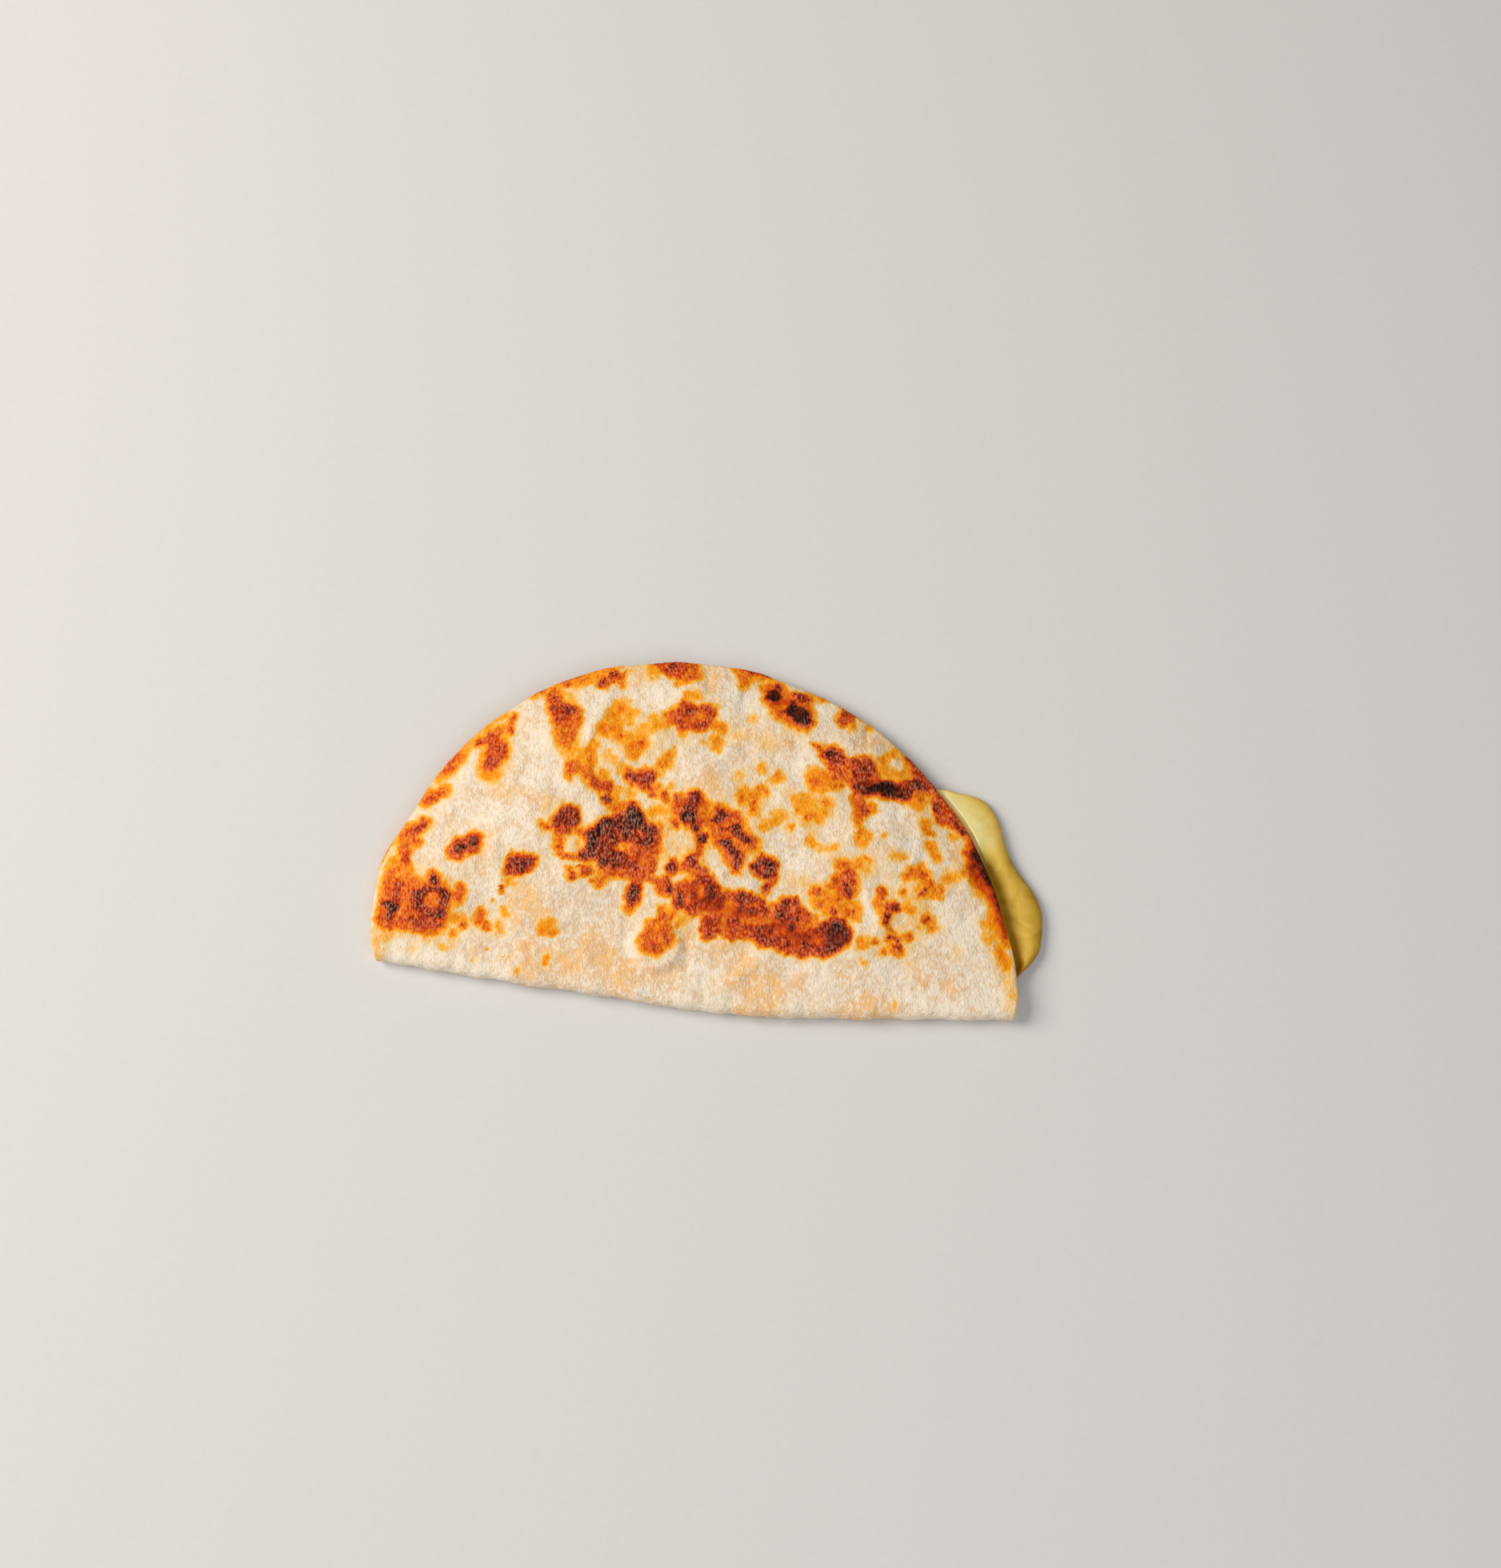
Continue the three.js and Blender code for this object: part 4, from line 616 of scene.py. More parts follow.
@dataclass(frozen=True)
class ToastMap:
    """Where the dough is toasted, greasy or floury, in millimetres in the frame."""

    edge: float = 1.4  # how fast a mark fades to pale dough
    edge_start: float = 0.3  # how far inside the mark's own outline the fading starts
    edge_power: float = 1.35  # more than 1 keeps the mark's middle even
    halo: tuple[float, float] = (3.4, 0.27)  # a patch's faint wider rim: edge, share of its heat
    faint_blur: float = 2.0  # how much softer a faint mark's edge is than a dark one's
    fleck: tuple[float, float] = (0.9, 0.35)  # narrower marks fade faster, down to this share
    island_edge: float = 0.8
    sharpness: float = 10.0  # how little neighbouring marks add up
    hottest: float = 1.05
    wander: tuple[tuple[float, float], ...] = ((4.0, 0.25), (1.6, 0.4))  # bump size and shift
    wander_seeds: tuple[float, float, float] = (5.1, 12.3, 31.7)  # first, a size's, an axis's
    reach: float = 3.2  # a mark ends this many edges out
    tone_edge: float = 2.0  # how fast a greasy or floury patch fades
    under_spots: int = 150  # on the lower flap
    under_reach: tuple[float, float, float, float] = (-94.0, 90.0, -50.0, 46.0)
    under_cluster: tuple[int, float] = (5, 4.0)  # spots in one, and how far they scatter
    under_size: tuple[float, float] = (0.8, 2.8)  # least and largest radius
    seed: int = 11

    def wandered(self, places: Array) -> Array:
        """Shifts points a little, each its own way, so that round spots get uneven outlines."""
        shifted = places.copy()
        first, per_size, per_axis = self.wander_seeds
        for number, (size, shift) in enumerate(self.wander):
            for axis in (0, 1):
                seed = per_axis * axis + per_size * number + first
                shifted[:, axis] += shift * BUMP_GAIN * bumps(places, size, seed)
        return shifted

    @staticmethod
    def from_line(places: Array, line: Sequence[float]) -> Array:
        """How far each point is from the straight line between two points, (x, y, x, y)."""
        start, run = np.array(line[:2]), np.array(line[2:]) - np.array(line[:2])
        squared = max(float(run @ run), TINY)
        along = np.clip((places[:, :2] - start) @ run / squared, 0.0, 1.0)
        return np.hypot(*(places[:, :2] - start - along[:, None] * run).T)

    def from_mark(self, places: Array, mark: Sequence[float]) -> Array:
        """How far each point is outside a spot, a streak or a patch's outline, below 0 inside."""
        if len(mark) == 3:
            return np.hypot(places[:, 0] - mark[0], places[:, 1] - mark[1]) - mark[2]
        if len(mark) == 5:
            return self.from_line(places, mark[:4]) - mark[4]
        corners = np.array(mark, dtype=float).reshape(-1, 2)
        away = np.full(len(places), np.inf)
        inside = np.zeros(len(places), dtype=bool)
        for start, end in zip(corners, np.roll(corners, -1, axis=0)):
            away = np.minimum(away, self.from_line(places, (*start, *end)))
            beside = (start[1] > places[:, 1]) != (end[1] > places[:, 1])
            slope = (end[0] - start[0]) / ((end[1] - start[1]) or TINY)
            inside ^= beside & (places[:, 0] < start[0] + (places[:, 1] - start[1]) * slope)
        return np.where(inside, -away, away)

    def strength(self, places: Array, mark: Sequence[float], edge: float) -> Array:
        """How much of one mark reaches each point.

        Args:
            places: points in the frame, in millimetres, one a row.
            mark: a spot, a streak or a patch, written as in the tables above.
            edge: how wide its soft edge is.

        Returns:
            A share for each point, 1 inside and 0 outside.
        """
        share = np.zeros(len(places))
        points = np.array(mark[: len(mark) // 2 * 2], dtype=float).reshape(-1, 2)
        room = self.reach * edge + (mark[-1] if len(mark) % 2 else 0.0)
        beyond_low = places[:, :2] > points.min(axis=0) - room
        below_high = places[:, :2] < points.max(axis=0) + room
        near = np.all(beyond_low & below_high, axis=1)
        beyond = np.maximum(self.from_mark(places[near], mark) + self.edge_start, 0.0)
        share[near] = np.exp(-((beyond / edge) ** self.edge_power))
        return share

    def edge_of(self, heat: float, mark: Sequence[float]) -> float:
        """How wide a mark's soft edge is: a fleck's is narrower, and a faint mark's is wider."""
        full, least = self.fleck
        is_patch = len(mark) % 2 == 0
        narrow = 1.0 if is_patch else min(max(mark[-1] / full, least), 1.0)
        return self.edge * narrow * (1.0 + self.faint_blur * max(Toast.RUST.value - heat, 0.0))

    def combined(self, places: Array, marks: Sequence[tuple[float, Sequence[float]]]) -> Array:
        """Heat of many marks together, where the strongest one counts most."""
        total = np.zeros(len(places))
        halo_edge, halo_share = self.halo
        for heat, mark in marks:
            share = self.strength(places, mark, self.edge_of(heat, mark))
            total += (heat * share) ** self.sharpness
            if len(mark) % 2 == 0:
                halo = halo_share * heat * self.strength(places, mark, halo_edge)
                total += halo**self.sharpness
        return np.minimum(total ** (1.0 / self.sharpness), self.hottest)

    def upper(self, places: Array) -> Array:
        """Heat on the upper flap and the fold."""
        moved = self.wandered(places)
        marks = [
            (toast.value, spot)
            for group in (PATCHES, STREAKS, SPOTS)
            for toast, spots in group.items()
            for spot in spots
        ]
        heat = self.combined(moved, marks)
        for *island, level in ISLANDS:
            heat = mix(heat, level, self.strength(moved, island, self.island_edge))
        return heat

    def under(self, places: Array) -> Array:
        """Heat on the lower flap, which lay on the pan: clusters of spots, placed by chance."""
        draw = random.Random(self.seed)
        left, right, near, far = self.under_reach
        per_cluster, scatter = self.under_cluster
        marks = []
        x = y = 0.0
        for number in range(self.under_spots):
            if number % per_cluster == 0:
                x, y = draw.uniform(left, right), draw.uniform(near, far)
            toast = draw.choice(UNDER_TOASTS)
            size = draw.uniform(*self.under_size)
            spot = (x + draw.gauss(0, scatter), y + draw.gauss(0, scatter), size)
            marks.append((toast.value, spot))
        return self.combined(self.wandered(places), marks)

    def skin_tone(self, places: Array) -> Array:
        """How greasy the upper flap is, up to 1, or how floury, down to -1. One patch of it is
        partly painted shade.
        """
        moved = self.wandered(places)
        fat, flour = (
            np.max([self.strength(moved, patch, self.tone_edge) for patch in patches], axis=0)
            for patches in (GREASE_AND_SHADE, FLOUR)
        )
        return fat - flour


# ---------------------------------------------------------------------------------------------
# Form


@dataclass(frozen=True)
class Outline:
    """The tortilla's outline in plan, as a radius from the fold's middle, and the fold's bow."""

    radius: float = 98.4
    depth: float = 2.9
    lean: float = 3.8
    shoulder: tuple[float, float, float] = (165.0, 9.0, 2.2)  # angle, spread, rise
    corner: tuple[float, float] = (1.2, 1.6)  # cut, spread
    waves: tuple[tuple[int, float, float], ...] = (
        (3, 0.32, math.pi),
        (5, 0.35, math.pi),
        (13, 0.2, 0.4),
        (29, 0.12, 2.1),
    )  # count, height, phase
    lower_short: float = 1.3  # the lower flap stops this short, away from the corners
    lower_corner: float = 12.0
    peek: tuple[float, float, float] = (163.0, 10.0, 2.6)  # angle, spread, reach
    peek_corner: float = 6.0
    bow_ends: float = 0.3
    bow_depth: float = 4.6
    bow_lean: float = 0.7
    bow_bulge: tuple[float, float, float] = (14.0, 34.0, 1.9)  # place, spread, depth
    bow_half: float = 98.0
    bow_fade: float = 70.0

    def rim(self, angle: Array) -> Array:
        """Radius of the upper flap's round edge, with the angle from the right corner."""
        degrees = np.degrees(angle)
        at, spread, rise = self.shoulder
        cut, corner_spread = self.corner
        corners = hump(degrees, 0.0, corner_spread) + hump(degrees, 180.0, corner_spread)
        waves = sum(high * np.sin(count * angle + phase) for count, high, phase in self.waves)
        base = self.radius + self.depth * np.sin(angle) - self.lean * np.sin(2 * angle)
        return base + rise * hump(degrees, at, spread) - cut * corners + waves

    def lower_reach(self, angle: Array) -> Array:
        """How much further out the lower flap's round edge is than the upper one's."""
        degrees = np.degrees(angle)
        from_corner = np.minimum(degrees, 180.0 - degrees)
        at, spread, reach = self.peek
        peek = reach * hump(degrees, at, spread) * smooth_step(from_corner, 0.0, self.peek_corner)
        return peek - self.lower_short * smooth_step(from_corner, 0.0, self.lower_corner)

    def bowed(self, x: Array, y: Array) -> Array:
        """A point's y once the fold line has its bow."""
        at, spread, bulge = self.bow_bulge
        bow = self.bow_ends + self.bow_depth * (1.0 - (x / self.bow_half) ** 2)
        bow = bow - self.bow_lean * x / self.bow_half + bulge * hump(x, at, spread)
        return y - bow * (1.0 - smooth_step(y, 0.0, self.bow_fade))


@dataclass(frozen=True)
class FoldedSheet:
    """The middle of the folded sheet of dough, and the room between its flaps."""

    outline: Outline = Outline()
    sheet: float = 2.0
    flat_radius: float = 98.0
    fold_gap: float = 2.6
    filling: float = 7.2
    fold_slope: float = 40.0
    rim_slope: float = 30.0
    lip_gap: float = 1.1
    lip_lift: float = 1.7
    ooze: tuple[float, float, float, float] = (2.0, 11.2, 37.5, 50.0)
    swells: tuple[tuple[float, float, float, float], ...] = (
        (47.0, 12.0, 0.45, 0.6),
        (31.0, 74.0, 0.35, 1.9),
        (22.0, 131.0, 0.25, 0.2),
    )  # length, turn, height, phase
    blisters: tuple[tuple[float, float, float, float], ...] = (
        (-11.5, 10.5, 8.0, 1.2),
        (46.0, 76.0, 9.0, 0.7),
        (64.0, 62.0, 8.0, 0.8),
        (-38.0, 56.0, 11.0, 0.7),
        (12.0, 40.0, 12.0, 0.7),
        (-78.0, 28.0, 9.0, 0.6),
        (74.0, 22.0, 10.0, 0.6),
    )  # x, y, width, height
    swell_fade: float = 14.0
    slope_step: float = 0.05

    @property
    def bend_radius(self) -> float:
        """Radius of the sheet's middle round the fold."""
        return (self.fold_gap + self.sheet) / 2

    def ooze_share(self, angle: Array) -> Array:
        """1 along the stretch of round edge where cheese comes out, and 0 elsewhere."""
        start, full, fades, end = self.ooze
        degrees = np.degrees(angle)
        return smooth_step(degrees, start, full) * (1.0 - smooth_step(degrees, fades, end))

    def swell(self, x: Array, y: Array, from_fold: Array, from_rim: Array) -> Array:
        """Height of the upper flap's long swells and blisters."""
        high = np.zeros_like(x)
        for length, turn, height, phase in self.swells:
            along = x * math.cos(math.radians(turn)) + y * math.sin(math.radians(turn))
            high += height * np.sin(2 * math.pi * along / length + phase)
        for at_x, at_y, width, height in self.blisters:
            high += height * hump(np.hypot(x - at_x, y - at_y), 0.0, width)
        fade = smooth_step(from_fold, 0.0, self.swell_fade)
        return high * fade * smooth_step(from_rim, 0.0, self.swell_fade)

    def gap(self, x: Array, y: Array) -> Array:
        """Height between the inner faces of the two flaps."""
        angle = np.arctan2(np.maximum(y, 0.0), x)
        from_fold = y - self.sheet / 2 - self.bend_radius
        from_rim = self.outline.rim(angle) - np.hypot(x, y)
        lip = self.lip_gap + self.lip_lift * self.ooze_share(angle)
        slope = 1.0 - (1.0 - np.clip(from_rim / self.rim_slope, 0.0, 1.0)) ** 2
        edge = mix(self.fold_gap, lip, smooth_step(from_fold, 0.0, self.swell_fade))
        full = smooth_step(from_fold, 0.0, self.fold_slope) * slope
        return mix(edge, self.filling, full) + self.swell(x, y, from_fold, from_rim)

    def middle(self, flat: Array) -> Array:
        """Folds points of the flat disc.

        Args:
            flat: points of the disc before it is folded, one a row.

        Returns:
            The same points on the middle of the folded sheet, in plan coordinates.
        """
        flat_x, flat_y = flat[:, 0], flat[:, 1]
        bend = self.bend_radius
        bend_length = bend * math.pi / 2
        across = np.abs(flat_y)
        turned = np.minimum(across, bend_length) / bend
        forward = bend * (1.0 - np.cos(turned)) + np.maximum(0.0, across - bend_length)
        angle = np.arctan2(forward, flat_x)
        lower = np.where(flat_y < 0.0, self.outline.lower_reach(angle), 0.0)
        rim = self.outline.rim(angle) + lower
        share = (flat_x**2 + flat_y**2) / self.flat_radius**2
        stretch = 1.0 + (rim / self.flat_radius - 1.0) * share
        x = flat_x * stretch
        y = self.sheet / 2 + forward * stretch
        in_bend = bend * (1.0 + np.sign(flat_y) * np.sin(turned))
        on_flap = np.where(flat_y > 0.0, self.sheet + self.gap(x, y), 0.0)
        z = self.sheet / 2 + np.where(across < bend_length, in_bend, on_flap)
        return np.stack([x, self.outline.bowed(x, y), z], axis=1)

    def normals(self, flat: Array) -> Array:
        """The outward direction of the folded sheet at each of these points of the flat disc."""
        along_x = np.array([self.slope_step, 0.0])
        along_y = np.array([0.0, self.slope_step])
        slope_x = self.middle(flat + along_x) - self.middle(flat - along_x)
        slope_y = self.middle(flat + along_y) - self.middle(flat - along_y)
        normal = np.cross(slope_x, slope_y)
        return normal / np.linalg.norm(normal, axis=1, keepdims=True)


def disc_points(u: Array, v: Array) -> Array:
    """Maps a square from -1 to 1 onto a disc of radius 1, with cells of even area.

    Args:
        u: each point's place across the square.
        v: each point's place up the square.

    Returns:
        The points on the disc, one a row.
    """
    wide = np.abs(u) > np.abs(v)
    reach = np.where(wide, u, v)
    other = np.where(wide, v, u)
    turn = (math.pi / 4) * other / np.where(reach == 0.0, 1.0, reach)
    x = np.where(wide, reach * np.cos(turn), reach * np.sin(turn))
    y = np.where(wide, reach * np.sin(turn), reach * np.cos(turn))
    return np.stack([x, y], axis=1)


def vertex_places(vertices: Sequence[bmesh.types.BMVert]) -> Array:
    """The places of some vertices, one a row."""
    return np.array([vertex.co[:] for vertex in vertices])


def move_vertices(vertices: Sequence[bmesh.types.BMVert], places: Array) -> None:
    """Puts each vertex at its own place."""
    for vertex, place in zip(vertices, places):
        vertex.co = place


def boundary_of(shape: bmesh.types.BMesh) -> list[bmesh.types.BMEdge]:
    """The open edges of a shape."""
    return [edge for edge in shape.edges if edge.is_boundary]


def finished_object(
    name: str,
    shape: bmesh.types.BMesh,
    material: bpy.types.Material,
    attributes: dict[str, Array],
) -> bpy.types.Object:
    """Turns a shape into an object of the scene that rides on the part.

    Args:
        name: the piece's name.
        shape: a closed shape, which is freed.
        material: its finish.
        attributes: a number for each vertex, by name.

    Returns:
        The new object.
    """
    bmesh.ops.recalc_face_normals(shape, faces=shape.faces)
    if shape.calc_volume(signed=True) < 0:
        bmesh.ops.reverse_faces(shape, faces=shape.faces)
    for face in shape.faces:
        face.smooth = True
    mesh = bpy.data.meshes.new(name)
    shape.to_mesh(mesh)
    open_edges = len(boundary_of(shape))
    shape.free()
    for label, values in attributes.items():
        layer = mesh.attributes.new(label, "FLOAT", "POINT")
        layer.data.foreach_set("value", np.asarray(values, dtype=np.float32))
    mesh.materials.append(material)
    piece = bpy.data.objects.new(name, mesh)
    bpy.context.scene.collection.objects.link(piece)
    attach(piece, BODY)
    triangles = sum(len(face.vertices) - 2 for face in mesh.polygons)
    log.info("%s: %d triangles, %d open edges", name, triangles, open_edges)
    return piece


# ---------------------------------------------------------------------------------------------
# The tortilla


@dataclass(frozen=True)
class ToastedDough:
    """Wheat flour tortilla, griddled in a dry hot pan.

    Steam lifts blisters that scorch where they touch the iron, so the eye sees pale floury dough
    with grainy amber to black spots, and a duller or greasier skin from place to place. The pale
    glints on the toasted spots are a painted highlight, mixed into the colour.
    """

    pale: str = "#ebd2ae"
    tan: str = "#e6c299"
    flour: str = "#faf3e6"
    fat: str = "#f6c482"
    toasting: tuple[tuple[float, str], ...] = (
        (0.10, "#f6deaa"),
        (0.20, "#f6cc84"),
        (0.33, "#fcac1c"),
        (0.44, "#f79000"),
        (0.55, "#e46e04"),
        (0.65, "#d24a00"),
        (0.73, "#b03200"),
        (0.80, "#8c2602"),
        (0.87, "#6a1c08"),
        (0.97, "#2a0602"),
    )
    # A painted highlight: this pale colour goes on the grain's peaks in toasted spots, for light
    # glinting off them
    painted_glint_colour: str = "#f4b896"
    streak: Grain = Grain(0.55, detail=1.0)  # about twice the real width, so that it shows
    fleck: Grain = Grain(1.2, detail=3.0, roughness=0.6, distortion=0.4)
    blotch: Grain = Grain(2.6, detail=4.0, roughness=0.65, distortion=0.3)
    patch: Grain = Grain(11.0, detail=3.0)
    lay: float = 8.0  # degrees from +Y towards -X, the way the grain runs
    streak_length: float = 2.3  # times its width
    fleck_length: float = 1.35
    contrast: float = 5.0  # noise keeps near its middle, so it is drawn out this much
    speckling: tuple[float, float] = (0.075, 0.07)  # how far streaks and flecks shift the heat
    clouding: tuple[float, float] = (0.1, 0.06)  # and how far blotches and patches do
    grease_in_tan: float = 0.2
    streak_in_flour: float = 0.9
    tan_in_flour: float = -0.7
    specks_in_gloss: float = 0.4
    fleck_in_bump: float = 1.4
    marked: Range = (0.05, 0.6, 0.0, 1.0)  # toast, to how much the specks show
    washed: Range = (0.02, 0.2, 0.0, 1.0)  # toast, to how much the clouds show
    calm: Range = (0.0, 0.9, 1.0, 0.2)  # grease, to how much of the specks it leaves
    drift: Range = (0.3, 0.7, -0.05, 0.05)  # patches, to how far they shift the tan
    tanned: Range = (0.42, 0.68, 0.0, 0.8)
    wet: Range = (0.35, 0.6, 0.3, 0.95)  # blotches, to how much of the grease shows
    floured: Range = (0.46, 0.76, 0.0, 0.68)
    toasted: Range = (0.03, 0.28, 0.0, 1.0)  # heat, to how far it hides the pale dough
    # The next two place the painted highlight: on the streaks' peaks, and more on darker toast
    painted_glint_peaks: Range = (0.46, 0.8, 0.0, 0.38)  # streaks, to how much they glint
    painted_glint_by_toast: Range = (0.5, 0.8, 0.45, 1.2)  # toast, to how much of the glint is left
    gloss: Range = (0.1, 0.95, 0.62, 0.42)  # heat or grease, to roughness
    ior: float = 1.45

    def material(self) -> bpy.types.Material:
        """Builds the dough's material from the mesh's own toast and fat attributes; the fat one is
        partly painted shade in one patch.
        """
        material, add = new_material("griddled_flour_tortilla")
        where = add("ShaderNodeTexCoord", output="Object")
        toast, grease_and_shade = (
            add("ShaderNodeAttribute", output="Fac", attribute_name=name)
            for name in ("toast", "grease_and_shade")
        )
        drawn_out, drawn_less = (
            add(
                "ShaderNodeMapping",
                {
                    "Vector": where,
                    "Rotation": (0.0, 0.0, math.radians(self.lay)),
                    "Scale": (1.0, length, 1.0),
                },
                vector_type="TEXTURE",
            )
            for length in (self.streak_length, self.fleck_length)
        )
        streak, fleck, blotch, patch = (
            add("ShaderNodeTexNoise", grain.inputs(coordinates))
            for grain, coordinates in (
                (self.streak, drawn_out),
                (self.fleck, drawn_less),
                (self.blotch, drawn_less),
                (self.patch, where),
            )
        )

        # Inside a toasted spot the grain makes lighter and darker specks, fewer where it is greasy
        marked = add(
            "ShaderNodeMapRange", (toast, *self.marked), interpolation_type="SMOOTHSTEP"
        )
        washed = add("ShaderNodeMapRange", (toast, *self.washed))
        calm = add("ShaderNodeMapRange", (grease_and_shade, *self.calm))
        inside = add("ShaderNodeMath", (marked, calm), operation="MULTIPLY")
        shifts = []
        for patterns, shares in (
            ((streak, fleck), self.speckling),
            ((blotch, patch), self.clouding),
        ):
            shift: Any = 0.0
            for pattern, share in zip(patterns, shares):
                middle = self.contrast / 2 * share
                centred = add("ShaderNodeMath", (shift, middle), operation="ADD")
                drawn = (pattern, -self.contrast * share, centred)
                shift = add("ShaderNodeMath", drawn, operation="MULTIPLY_ADD")
            shifts.append(shift)
        specks, clouds = shifts
        clouded = add("ShaderNodeMath", (clouds, washed, toast), operation="MULTIPLY_ADD")
        heat = add(
            "ShaderNodeMath", (specks, inside, clouded), operation="MULTIPLY_ADD", use_clamp=True
        )

        # Pale dough, mottled with tan where it dried and white where dry flour clings
        drift = add("ShaderNodeMapRange", (patch, *self.drift))
        tone = add("ShaderNodeMath", (grease_and_shade, self.grease_in_tan, drift), operation="MULTIPLY_ADD")
        tanned = add("ShaderNodeMath", (blotch, tone), operation="ADD")
        dusted = add(
            "ShaderNodeMath", (streak, self.streak_in_flour, fleck), operation="MULTIPLY_ADD"
        )
        floured = add(
            "ShaderNodeMath", (tanned, self.tan_in_flour, dusted), operation="MULTIPLY_ADD"
        )
        wet = add("ShaderNodeMapRange", (blotch, *self.wet))
        soaked = add("ShaderNodeMath", (grease_and_shade, wet), operation="MULTIPLY", use_clamp=True)

        # Each layer of colour covers the last by its share; the topmost is a painted highlight on
        # toasted grain
        toasted = add("ShaderNodeValToRGB", (heat,), stops=self.toasting)
        browned = add(
            "ShaderNodeMapRange", (heat, *self.toasted), interpolation_type="SMOOTHSTEP"
        )
        painted_glint_peaks = add("ShaderNodeMapRange", (streak, *self.painted_glint_peaks))
        painted_glint_by_toast = add("ShaderNodeMapRange", (toast, *self.painted_glint_by_toast))
        painted_glint_share = add("ShaderNodeMath", (painted_glint_by_toast, calm), operation="MULTIPLY")
        colour: Any = linear_colour(self.pale)
        for share, over in (
            (add("ShaderNodeMapRange", (tanned, *self.tanned)), linear_colour(self.tan)),
            (soaked, linear_colour(self.fat)),
            (add("ShaderNodeMapRange", (floured, *self.floured)), linear_colour(self.flour)),
            (browned, toasted),
            (add("ShaderNodeMath", (painted_glint_peaks, painted_glint_share), operation="MULTIPLY"), linear_colour(self.painted_glint_colour)),
        ):
            colour = add(
                "ShaderNodeMix", {"Factor": share, 6: colour, 7: over}, output=2, data_type="RGBA"
            )

        # Floury dough is dull, soaked and scorched dough shines a little in places
        shine = add("ShaderNodeMath", (heat, soaked), operation="MAXIMUM")
        gloss = add("ShaderNodeMapRange", (shine, *self.gloss))
        roughness = add(
            "ShaderNodeMath", (specks, self.specks_in_gloss, gloss), operation="MULTIPLY_ADD"
        )

        # Fine skin: drawn-out grain on top of coarser pulp
        skin = add("ShaderNodeMath", (fleck, self.fleck_in_bump, streak), operation="MULTIPLY_ADD")
        bump = add("ShaderNodeBump", {"Height": skin, "Strength": 0.8, "Distance": 0.3 * MM})
        surface = add(
            "ShaderNodeBsdfPrincipled",
            {
                "Base Color": colour,
                "Roughness": roughness,
                "Normal": bump,
                "IOR": self.ior,
                "Specular IOR Level": 0.12,
                "Subsurface Weight": 0.1,
                "Subsurface Radius": (1.0, 0.5, 0.25),
                "Subsurface Scale": 1.2 * MM,
            },
        )
        add("ShaderNodeOutputMaterial", {"Surface": surface})
        return material


@dataclass(frozen=True)
class Relief:
    """Shallow relief on the outer face of the dough, in millimetres."""

    puckers: tuple[tuple[float, float], ...] = ((7.0, 0.3), (2.8, 0.15), (1.5, 0.07))
    pucker_seeds: tuple[float, float] = (0.7, 3.3)  # the first, and from one to the next
    blister: float = 0.35  # how far a scorched spot stands up
    blister_heat: tuple[float, float] = (0.45, 0.9)  # it rises between these
    crust: float = 0.1  # roughness of a scorched spot
    crust_heat: tuple[float, float] = (0.4, 0.8)
    crust_bumps: tuple[float, float] = (1.4, 9.1)  # size and seed
    under_depth: float = 0.3  # of the dimples in the lower flap
    under_bumps: tuple[float, float] = (5.0, 17.0)
    under_share: float = 0.5  # how much of the lower flap is dimpled
    crease_edge: float = 1.2
    creases: tuple[tuple[float, float, float, float, float, float], ...] = (
        (-17.0, -45.2, -10.5, -44.2, 0.4, 0.3),
        (-10.5, -44.2, -5.0, -42.0, 0.4, 0.35),
        (-5.0, -42.0, -4.4, -32.0, 0.4, 0.3),
        (-7.6, 46.0, -7.4, 54.0, 0.5, 0.45),
        (42.6, 38.0, 42.8, 30.5, 0.4, 0.4),
        (-44.0, 20.0, -38.0, 38.0, 1.2, -0.5),
        (-30.0, 21.5, -20.0, 20.5, 0.8, -0.25),
        (62.0, 6.0, 60.0, -4.0, 0.8, -0.3),
        (21.0, -41.0, 23.0, -52.0, 0.6, 0.25),
        (-2.0, 22.0, 4.0, 28.0, 0.8, -0.25),
        (-66.5, -10.0, -64.0, -26.0, 1.2, -0.35),
        (30.0, -36.0, 33.0, -48.0, 0.6, 0.2),
    )  # from x, y to x, y, half width, depth, which is below 0 for a ridge
    blister_edge: float = 3.2
    blisters: tuple[tuple[float, float, float, float], ...] = (
        (-14.5, -36.2, 9.5, 1.2),
        (-60.0, 24.0, 6.0, -0.45),
        (15.0, 26.0, 8.0, 0.4),
        (50.0, -22.0, 7.0, 0.35),
        (-78.0, 2.0, 6.5, 0.35),
        (27.0, -10.0, 6.0, 0.35),
    )  # x, y, radius, height, which is below 0 for a hollow


